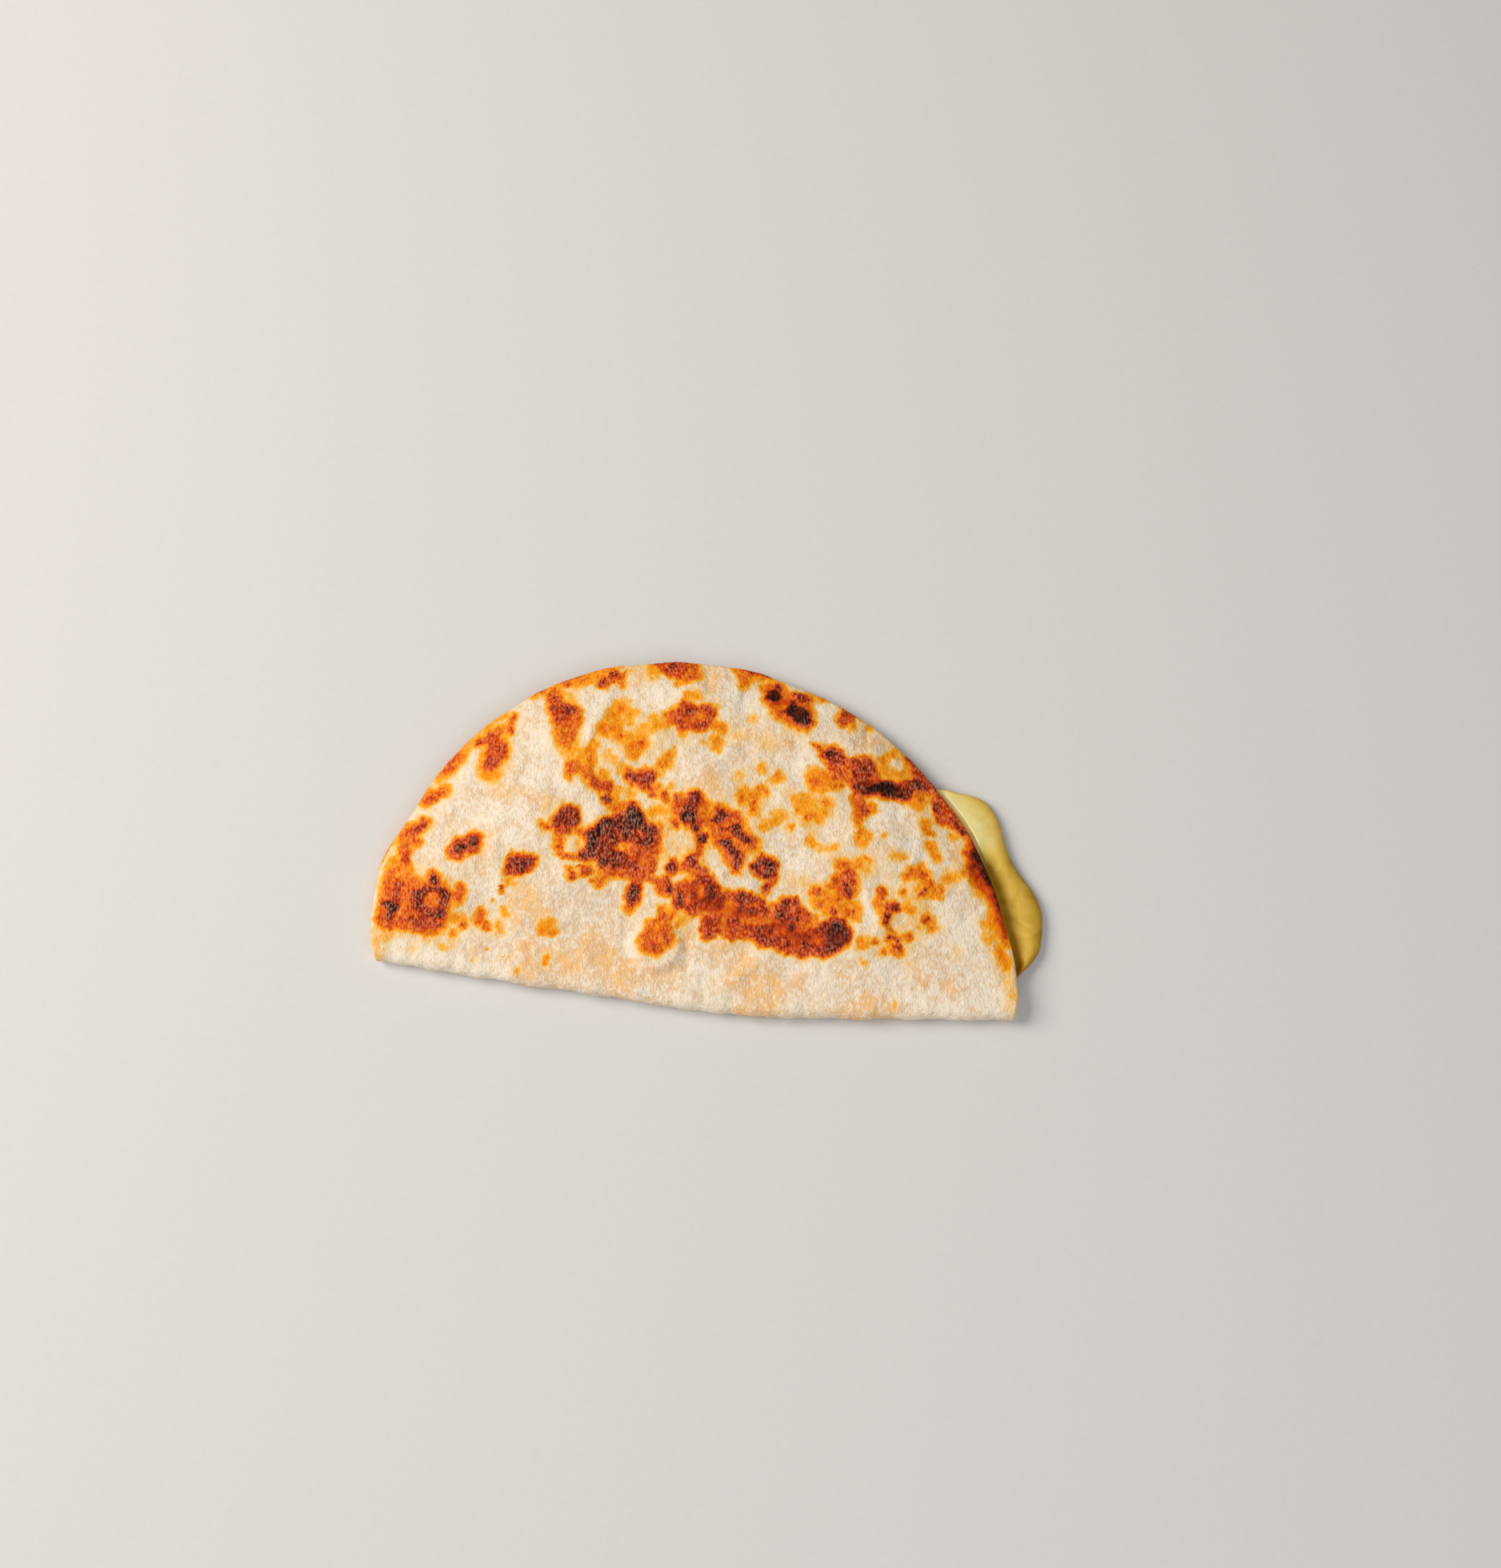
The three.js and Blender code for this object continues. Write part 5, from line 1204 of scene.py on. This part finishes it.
@dataclass
class Tortilla:
    """The folded flour tortilla, one closed sheet of dough."""

    form: FoldedSheet
    toast: ToastMap = ToastMap()
    relief: Relief = Relief()
    finish: ToastedDough = ToastedDough()
    columns: int = 320
    upper_rows: int = 160
    lower_rows: int = 75
    lower_crowding: float = 1.25  # more than 1 crowds the lower flap's rows at the fold
    inner_share: int = 3  # the inner face has this many times fewer columns and rows
    edge_round: float = 1.1  # how far in from its edge the sheet starts to round off
    edge_rings: int = 7
    relief_top: float = 0.3  # the most that relief stands above the solid
    flap_blend: tuple[float, float] = (-3.6, -0.8)  # from the lower flap's looks to the upper's
    outer_roll: float = -1.0  # further round its edge than this, the dough is plain
    peek_run: tuple[float, float] = (5.0, 55.0)  # the peeking rim starts and is full, towards -X
    peek_edge: float = 4.0  # how wide it is toasted
    peek_bumps: tuple[float, float] = (7.0, 23.0)  # size and seed of its patches
    peek_share: float = 0.7  # how much of it they toast
    peek_heat: float = 0.45
    rim_samples: int = 721  # points that find the form's place
    fold_samples: int = 401
    shift: Array = field(default_factory=lambda: np.zeros(3))

    def discs(self, vertices: Sequence[bmesh.types.BMVert], columns: int, rows: int) -> Array:
        """Places on the unit disc for a new grid's vertices, with finer rows on the upper flap."""
        square = vertex_places(vertices)
        fold_row = rows * self.lower_rows / (self.upper_rows + self.lower_rows)
        row = (square[:, 1] + 1.0) / 2.0 * rows - fold_row
        below = np.maximum(-row, 0.0) / fold_row
        above = np.maximum(row, 0.0) / (rows - fold_row)
        return disc_points(square[:, 0], above - below**self.lower_crowding)

    def skin(self, disc: Array, roll: Array) -> tuple[Array, Array, Array]:
        """Puts points on the dough's surface.

        Args:
            disc: places on the unit disc, one a row.
            roll: where each point is round the sheet's edge, from 90 degrees on the outer face
                through 0 at the very edge to -90 on the inner face, in radians.

        Returns:
            Places in the frame in millimetres, the heat there, and how greasy it is there, which in
            one patch is partly painted shade.
        """
        form = self.form
        reach = form.flat_radius - self.edge_round * (1.0 - np.cos(roll))
        flat = disc * reach[:, None]
        places = form.middle(flat) + self.shift
        normals = form.normals(flat)
        outer = np.clip(np.sin(roll), 0.0, 1.0)
        upper = smooth_step(flat[:, 1], *self.flap_blend)

        heat = np.zeros(len(flat))
        grease_and_shade = np.zeros(len(flat))
        on_top = (upper > 0.0) & (roll > self.outer_roll)
        below = (upper < 1.0) & (roll > self.outer_roll)
        heat[on_top] = self.toast.upper(places[on_top]) * upper[on_top]
        grease_and_shade[on_top] = self.toast.skin_tone(places[on_top]) * upper[on_top]
        heat[below] += self.toast.under(places[below]) * (1.0 - upper[below])
        peeking = (1.0 - upper) * smooth_step(-flat[:, 0], *self.peek_run)
        peek_start = form.flat_radius - self.peek_edge
        near_edge = smooth_step(np.hypot(*flat.T), peek_start, form.flat_radius)
        patchy = np.clip(self.peek_share + bumps(places, *self.peek_bumps), 0.0, 1.0)
        heat = np.maximum(heat, self.peek_heat * peeking * near_edge * patchy)

        high = self.relief_height(places, heat, upper) * outer
        raised = places + normals * (form.sheet / 2 * np.sin(roll) + high)[:, None]
        raised[:, 2] = np.clip(raised[:, 2], 0.0, self.form_top + self.relief_top)
        return raised, heat, grease_and_shade

    def relief_height(self, places: Array, heat: Array, upper: Array) -> Array:
        """Height of the shallow relief at each point, before it fades round the edge."""
        relief = self.relief
        first, step = relief.pucker_seeds
        high = sum(
            BUMP_GAIN * depth * bumps(places, size, step * number + first)
            for number, (size, depth) in enumerate(relief.puckers)
        )
        high = high + relief.blister * smooth_step(heat, *relief.blister_heat)
        rough = bumps(places, *relief.crust_bumps)
        high = high + BUMP_GAIN * relief.crust * rough * smooth_step(heat, *relief.crust_heat)
        for *line, half_width, depth in relief.creases:
            spot = (*line, half_width)
            high = high - depth * self.toast.strength(places, spot, relief.crease_edge)
        for *spot, rise in relief.blisters:
            inward = -self.toast.from_mark(places, spot)
            high = high + rise * smooth_step(inward, 0.0, relief.blister_edge)
        dimpled = np.clip(relief.under_share + bumps(places, *relief.under_bumps), 0.0, 1.0)
        return mix(-relief.under_depth * dimpled, high, upper)

    @property
    def form_top(self) -> float:
        """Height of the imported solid, in millimetres."""
        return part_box("tortilla")[1].z / MM

    def place_on_frame(self) -> None:
        """Finds the shift that puts the form where the frame has the solid."""
        low, high = (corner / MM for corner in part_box("tortilla"))
        turn = np.linspace(-math.pi, math.pi, self.rim_samples)
        flat = np.stack([np.cos(turn), np.sin(turn)], axis=1) * self.form.flat_radius
        rim = self.form.middle(flat)
        along = np.linspace(-1, 1, self.fold_samples)
        line = np.stack([along, np.zeros_like(along)], axis=1) * self.form.flat_radius
        fold = self.form.middle(line) + self.form.normals(line) * self.form.sheet / 2
        across = (low.x + high.x - rim[:, 0].min() - rim[:, 0].max()) / 2
        self.shift = np.array([across, low.y - fold[:, 1].min(), 0.0])

    def build(self) -> bpy.types.Object:
        """Builds the dough and returns the piece."""
        self.place_on_frame()
        shape = bmesh.new()
        disc_x = shape.verts.layers.float.new("disc_x")
        disc_y = shape.verts.layers.float.new("disc_y")
        rolled = shape.verts.layers.float.new("roll")
        rows = self.upper_rows + self.lower_rows

        def lay_grid(columns: int, lines: int, roll: float) -> list[bmesh.types.BMVert]:
            """Adds a grid on the disc and notes where its vertices are."""
            made = bmesh.ops.create_grid(shape, x_segments=columns, y_segments=lines, size=1.0)
            for vertex, (x, y) in zip(made["verts"], self.discs(made["verts"], columns, lines)):
                vertex[disc_x], vertex[disc_y], vertex[rolled] = x, y, roll
            return made["verts"]

        lay_grid(self.columns, rows, math.pi / 2)
        ring = boundary_of(shape)
        for number in range(1, self.edge_rings + 1):
            made = bmesh.ops.extrude_edge_only(shape, edges=ring)["geom"]
            edges = [part for part in made if isinstance(part, bmesh.types.BMEdge)]
            ring = [edge for edge in edges if edge.is_boundary]
            turn = math.pi / 2 - number * math.pi / (self.edge_rings + 1)
            for part in made:
                if isinstance(part, bmesh.types.BMVert):
                    part[rolled] = turn
        inner = lay_grid(self.columns // self.inner_share, rows // self.inner_share, -math.pi / 2)
        bmesh.ops.reverse_faces(shape, faces=list({face for v in inner for face in v.link_faces}))

        vertices = list(shape.verts)
        disc = np.array([(vertex[disc_x], vertex[disc_y]) for vertex in vertices])
        roll = np.array([vertex[rolled] for vertex in vertices])
        places, heat, grease_and_shade = self.skin(disc, roll)
        move_vertices(vertices, places * MM)
        bmesh.ops.bridge_loops(shape, edges=boundary_of(shape))
        piece = finished_object(
            "folded_tortilla", shape, self.finish.material(), {"toast": heat, "grease_and_shade": grease_and_shade}
        )
        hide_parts("tortilla")
        return piece


# ---------------------------------------------------------------------------------------------
# The cheese


@dataclass(frozen=True)
class MeltedFinish:
    """Young yellow cheese, melted and just set.

    It is smooth, fatty and a little see-through, so its edges glow where it is thinly spread,
    and its skin has a satin shine with faint swirls. Its deepest tones are partly painted shade,
    in the valley beside the flap and along the upper lobe's outer rim.
    """

    # From pale to deep; the deep end is partly painted shade, where the flap's shadow falls on the
    # valley
    tones: tuple[tuple[float, str], ...] = (
        (0.0, "#ffefa8"),
        (0.3, "#f0cc66"),
        (0.55, "#cfa83e"),
        (0.75, "#ae7a08"),
        (1.0, "#985c00"),
    )
    swirl: Grain = Grain(6.0, detail=3.0, distortion=1.2)
    pores: Grain = Grain(1.1)
    shifted: Range = (0.3, 0.7, -0.08, 0.08)  # swirls, to how far they shift the tone
    gloss: Range = (0.3, 0.7, 0.38, 0.5)  # swirls, to roughness
    ior: float = 1.46

    def material(self) -> bpy.types.Material:
        """Builds the cheese's material from the mesh's own attribute of tone and painted shade."""
        material, add = new_material("melted_young_cheese")
        where = add("ShaderNodeTexCoord", output="Object")
        tone_and_painted_shade = add("ShaderNodeAttribute", output="Fac", attribute_name="tone_and_painted_shade")
        swirl, pores = (
            add("ShaderNodeTexNoise", grain.inputs(where)) for grain in (self.swirl, self.pores)
        )
        shifted = add("ShaderNodeMapRange", (swirl, *self.shifted))
        depth = add("ShaderNodeMath", (tone_and_painted_shade, shifted), operation="ADD", use_clamp=True)
        bump = add("ShaderNodeBump", {"Height": pores, "Strength": 0.18, "Distance": 0.2 * MM})
        surface = add(
            "ShaderNodeBsdfPrincipled",
            {
                "Base Color": add("ShaderNodeValToRGB", (depth,), stops=self.tones),
                "Roughness": add("ShaderNodeMapRange", (swirl, *self.gloss)),
                "Normal": bump,
                "IOR": self.ior,
                "Specular IOR Level": 0.14,
                "Subsurface Weight": 0.35,
                "Subsurface Radius": (1.0, 0.7, 0.2),
                "Subsurface Scale": 2.0 * MM,
            },
        )
        add("ShaderNodeOutputMaterial", {"Surface": surface})
        return material


@dataclass
class MeltedCheese:
    """The cheese between the flaps, with the two lobes that ran out at the right."""

    form: FoldedSheet
    finish: MeltedFinish = MeltedFinish()
    clearance: float = 0.5  # from the dough, above and below
    fold_room: float = 1.1
    recess: float = 5.0  # behind the round edge, where none comes out
    reach: float = 11.2  # added where it comes out
    lobes: tuple[tuple[float, float, float], ...] = ((18.0, 7.0, 5.5), (36.5, 8.0, 4.0))
    lip_room: float = 0.4
    drop_run: float = 2.0
    drop_reach: float = 4.0
    nose: float = 1.2  # the rounded edge's length
    nose_height: float = 0.6
    edge_top: float = 1.3
    edge_bottom: float = 0.35
    thinnest: tuple[float, float] = (0.2, 0.4)  # full from this share out, and the height
    fullness: float = 3.2  # more than 1 rounds the lobes' side
    underside: float = 8.0
    foot: float = 60.0  # half the length of the straight edge along the fold
    upper_lobe: tuple[float, float] = (27.0, 33.0)  # it starts and is full at these angles
    dome: tuple[float, float] = (2.1, 0.035)  # the upper lobe's rise, and within what share
    dip: tuple[float, float] = (-6.0, 0.0)  # the valley starts and is full this far from the lip
    valley_depth: float = 1.7
    valley_end: tuple[float, float] = (0.1, 0.85)  # shares of the reach where it starts to end
    # The valley's deep tone is painted shade, for the flap's shadow
    tone_end: tuple[float, float] = (0.18, 0.7)  # the same for its deep tone
    low_end: tuple[float, float] = (3.0, 12.0)  # the low lobe's end is deep up to these angles
    # The low lobe's tone: overall, painted shade in the valley, at its rim and at its end
    low_tones: tuple[float, float, float, float] = (0.43, 0.3, 0.24, 0.36)  # all, valley, rim, end
    low_rim: int = 5  # more keeps the low lobe's deep rim narrower
    # The upper lobe's darker outer rim is painted shade
    high_tones: tuple[float, float] = (0.02, 0.45)  # all, rim
    high_rim: int = 3
    ridge: tuple[float, float, float] = (0.72, 0.3, 0.3)  # share of the reach, spread, height
    ripple: float = 0.1
    ripple_bumps: tuple[float, float] = (5.0, 2.2)  # size and seed
    plain_ribs: int = 80
    ooze_ribs: int = 240
    inner_steps: int = 16
    lobe_steps: int = 36

    def edge_radius(self, angle: Array) -> Array:
        """Radius of the cheese's own edge in plan."""
        degrees = np.degrees(angle)
        lobes = sum(reach * hump(degrees, at, spread) for at, spread, reach in self.lobes)
        rim = self.form.outline.rim(angle)
        return rim - self.recess + self.reach * self.form.ooze_share(angle) + lobes

    def surface(self, across: Array, out: Array, is_top: bool) -> tuple[Array, Array]:
        """Puts points on the cheese.

        Args:
            across: 0 at the left corner, 1 where cheese starts to come out, 2 at the right corner.
            out: 0 at the fold, 1 at the tortilla's round edge, 2 at the cheese's own edge.
            is_top: whether the points are on its upper face.

        Returns:
            Places in plan coordinates, and the cheese's tone at each, with painted shade in the
            valley beside the flap and on the upper lobe's rim.
        """
        form = self.form
        back = form.sheet + self.fold_room
        squeeze = 1.0 - back / form.outline.radius
        start = math.radians(form.ooze[3])
        angle = np.where(across < 1.0, mix(math.pi, start, across), start * (2.0 - across))
        outer = self.edge_radius(angle)
        lip = np.minimum(form.outline.rim(angle) + self.lip_room, outer - self.nose)
        dropped = smooth_step(np.maximum(0.0, outer - lip - self.nose), 0.0, self.drop_reach)
        beyond = np.clip(out - 1.0, 0.0, 1.0)
        inner = np.clip(out, 0.0, 1.0)
        run = beyond * mix(np.minimum(self.drop_run, outer - lip), outer - lip, beyond)
        cos, sin = np.cos(angle), np.sin(angle)
        x = mix(self.foot * cos, lip * cos, inner) + run * cos
        plan_y = lip * sin * inner + run * sin
        y = back + plan_y * squeeze
        roof = form.sheet + form.gap(x, y) - self.clearance
        roof = np.maximum(roof, form.sheet + 2 * self.clearance)
        lip_gap = form.gap(lip * cos, back + lip * sin * squeeze)
        lip_top = np.maximum(
            form.sheet + lip_gap - self.clearance, form.sheet + 2 * self.clearance
        )
        floor = form.sheet + self.clearance
        middle = (lip_top + floor) / 2
        degrees = np.degrees(angle)
        high_lobe = smooth_step(degrees, *self.upper_lobe)
        out_of_lip = run - np.hypot(lip * cos - x, back + lip * sin * squeeze - y) * (inner < 1.0)
        share, spread, high = self.ridge
        ridge = hump(beyond, share, spread)
        groove = smooth_step(out_of_lip, *self.dip)
        valley = groove * (1.0 - smooth_step(beyond, *self.valley_end))
        # Painted shade: the valley beside the flap is coloured deeper, for the flap's shadow
        painted_valley_shade = groove * (1.0 - smooth_step(beyond, *self.tone_end))
        if is_top:
            edge = mix(middle + self.nose_height / 2, self.edge_top, dropped)
            full = (1.0 - beyond**self.fullness) ** (1.0 / self.fullness)
            low = high * ridge - self.valley_depth * valley
            rise, within = self.dome
            dome = rise * (1.0 - np.exp(-beyond / within)) * (1.0 - beyond)
            level = np.stack([x, y, np.zeros_like(y)], axis=1)
            ripple = self.ripple * BUMP_GAIN * bumps(level, *self.ripple_bumps)
            outside = mix(edge, lip_top, full) + dropped * (
                mix(low, dome, high_lobe) + ripple * full
            )
            inside = roof - self.valley_depth * valley * dropped * (1.0 - high_lobe)
            thin_from, thinnest = self.thinnest
            base = mix(floor, self.edge_bottom, smooth_step(beyond, 0.0, thin_from))
            z = np.maximum(np.where(beyond > 0.0, outside, inside), base + thinnest)
        else:
            edge = mix(middle - self.nose_height / 2, self.edge_bottom, dropped)
            under = mix(floor, 0.0, dropped)
            z = np.where(beyond > 0.0, mix(under, edge, beyond**self.underside), floor)
        at_end = 1.0 - smooth_step(degrees, *self.low_end)
        plain, in_valley, at_rim, in_end = self.low_tones
        low_tone = plain + in_valley * painted_valley_shade + at_rim * beyond**self.low_rim + in_end * at_end
        # The upper lobe's tone darkens towards its rim: painted shade
        plain, at_rim = self.high_tones
        tone_and_painted_shade = mix(low_tone, plain + at_rim * beyond**self.high_rim, high_lobe)
        return np.stack([x, form.outline.bowed(x, y), z], axis=1), np.clip(tone_and_painted_shade, 0.0, 1.0)

    def build(self, shift: Array) -> bpy.types.Object:
        """Builds the cheese.

        Args:
            shift: moves plan coordinates to the frame, in millimetres.

        Returns:
            The piece.
        """
        shape = bmesh.new()
        columns = self.plain_ribs + self.ooze_ribs
        rows = self.inner_steps + self.lobe_steps
        tone_and_painted_shade = []
        for is_top in (True, False):
            grid = bmesh.ops.create_grid(shape, x_segments=columns, y_segments=rows, size=1.0)
            vertices = grid["verts"]
            square = vertex_places(vertices)
            rib = (square[:, 0] + 1.0) / 2.0 * columns
            step = (square[:, 1] + 1.0) / 2.0 * rows
            across = np.interp(rib, (0, self.plain_ribs, columns), (0, 1, 2))
            out = np.interp(step, (0, self.inner_steps, rows), (0, 1, 2))
            places, depth = self.surface(across, out, is_top)
            move_vertices(vertices, (places + shift) * MM)
            tone_and_painted_shade.append(depth)
            if not is_top:
                faces = list({face for vertex in vertices for face in vertex.link_faces})
                bmesh.ops.reverse_faces(shape, faces=faces)
        bmesh.ops.bridge_loops(shape, edges=boundary_of(shape))
        piece = finished_object(
            "melted_cheese", shape, self.finish.material(), {"tone_and_painted_shade": np.concatenate(tone_and_painted_shade)}
        )
        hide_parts("cheese")
        return piece


# ---------------------------------------------------------------------------------------------
# The studio


@dataclass(frozen=True)
class PaperFinish:
    """Matt backdrop paper: an even pale grey with a barely visible tooth."""

    light: str = "#dcdcdc"
    dark: str = "#dadada"
    tooth: Grain = Grain(2.0)

    def material(self) -> bpy.types.Material:
        """Builds the paper's material."""
        material, add = new_material("backdrop_paper")
        where = add("ShaderNodeTexCoord", output="Object")
        tooth = add("ShaderNodeTexNoise", self.tooth.inputs(where))
        greys = ((0.3, self.dark), (0.7, self.light))
        colour = add("ShaderNodeValToRGB", (tooth,), stops=greys)
        surface = add("ShaderNodeBsdfPrincipled", {"Base Color": colour, "Roughness": 0.9})
        add("ShaderNodeOutputMaterial", {"Surface": surface})
        return material


@dataclass(frozen=True)
class SoftLight:
    """One large square lamp that faces the food."""

    name: str
    azimuth: float  # 0 stands at -Y and 90 at +X
    elevation: float
    power: float
    side: float = 0.9
    away: float = 1.5
    colour: str = "#ffffff"


@dataclass(frozen=True)
class Studio:
    """The floor, the lights and the camera, which looks down steeply from the fold's side."""

    floor_side: float = 6.0
    azimuth: float = 5.9
    elevation: float = 77.0
    lens: float = 60.0
    distance: float = 0.8086
    target: tuple[float, float, float] = (0.00865, 0.018283, 0.0)
    world: str = "#ffffff"
    world_strength: float = 0.22
    lights: tuple[SoftLight, ...] = (
        SoftLight("key", azimuth=-100.0, elevation=42.0, power=20.2, colour="#fff6ea"),
        SoftLight("fill", azimuth=25.0, elevation=55.0, power=7.0, side=1.4),
    )
    paper: PaperFinish = PaperFinish()

    @staticmethod
    def direction(azimuth: float, elevation: float) -> Vector:
        """The direction from the food towards something seen at these angles, in degrees."""
        turn, rise = math.radians(azimuth), math.radians(elevation)
        level = math.cos(rise)
        return Vector((math.sin(turn) * level, -math.cos(turn) * level, math.sin(rise)))

    def build(self) -> None:
        """Builds the floor, the lights, the sky light and the camera."""
        self.add_floor()
        for light in self.lights:
            self.add_light(light)
        self.add_sky()
        self.add_camera()

    def add_floor(self) -> None:
        """Lays the floor that the food lies on."""
        shape = bmesh.new()
        bmesh.ops.create_grid(shape, x_segments=1, y_segments=1, size=self.floor_side / 2)
        mesh = bpy.data.meshes.new("floor")
        shape.to_mesh(mesh)
        shape.free()
        mesh.materials.append(self.paper.material())
        floor = bpy.data.objects.new("floor", mesh)
        bpy.context.scene.collection.objects.link(floor)

    def add_light(self, light: SoftLight) -> None:
        """Hangs one lamp, facing the origin."""
        lamp = bpy.data.lights.new(light.name, "AREA")
        lamp.shape = "SQUARE"
        lamp.size = light.side
        lamp.energy = light.power
        lamp.color = linear_colour(light.colour)[:3]
        holder = bpy.data.objects.new(light.name, lamp)
        towards = self.direction(light.azimuth, light.elevation)
        holder.location = towards * light.away
        holder.rotation_mode = "QUATERNION"
        holder.rotation_quaternion = towards.to_track_quat("Z", "Y")
        bpy.context.scene.collection.objects.link(holder)

    def add_sky(self) -> None:
        """Surrounds everything with even white light."""
        world = bpy.data.worlds.new("studio_white")
        world.use_nodes = True
        world.node_tree.nodes.clear()
        light = add_node(
            world.node_tree,
            "ShaderNodeBackground",
            {"Color": linear_colour(self.world), "Strength": self.world_strength},
        )
        add_node(world.node_tree, "ShaderNodeOutputWorld", {"Surface": light})
        bpy.context.scene.world = world

    def add_camera(self) -> None:
        """Places the camera and sets plain, true colours."""
        data = bpy.data.cameras.new("camera")
        data.lens = self.lens
        camera = bpy.data.objects.new("camera", data)
        back = self.direction(self.azimuth, self.elevation)
        turn = math.radians(self.azimuth)
        right = Vector((math.cos(turn), math.sin(turn), 0.0))
        axes = Matrix((right, back.cross(right), back)).transposed().to_4x4()
        place = Vector(self.target) + back * self.distance
        camera.matrix_world = Matrix.Translation(place) @ axes
        bpy.context.scene.collection.objects.link(camera)
        bpy.context.scene.camera = camera
        bpy.context.scene.view_settings.view_transform = "Standard"


def main() -> None:
    """Builds the studio and both pieces, and reports them."""
    logging.basicConfig(level=logging.INFO, format="%(name)s: %(message)s")
    Studio().build()
    form = FoldedSheet()
    tortilla = Tortilla(form)
    tortilla.build()
    MeltedCheese(form).build(tortilla.shift)


if __name__ == "__main__":
    main()
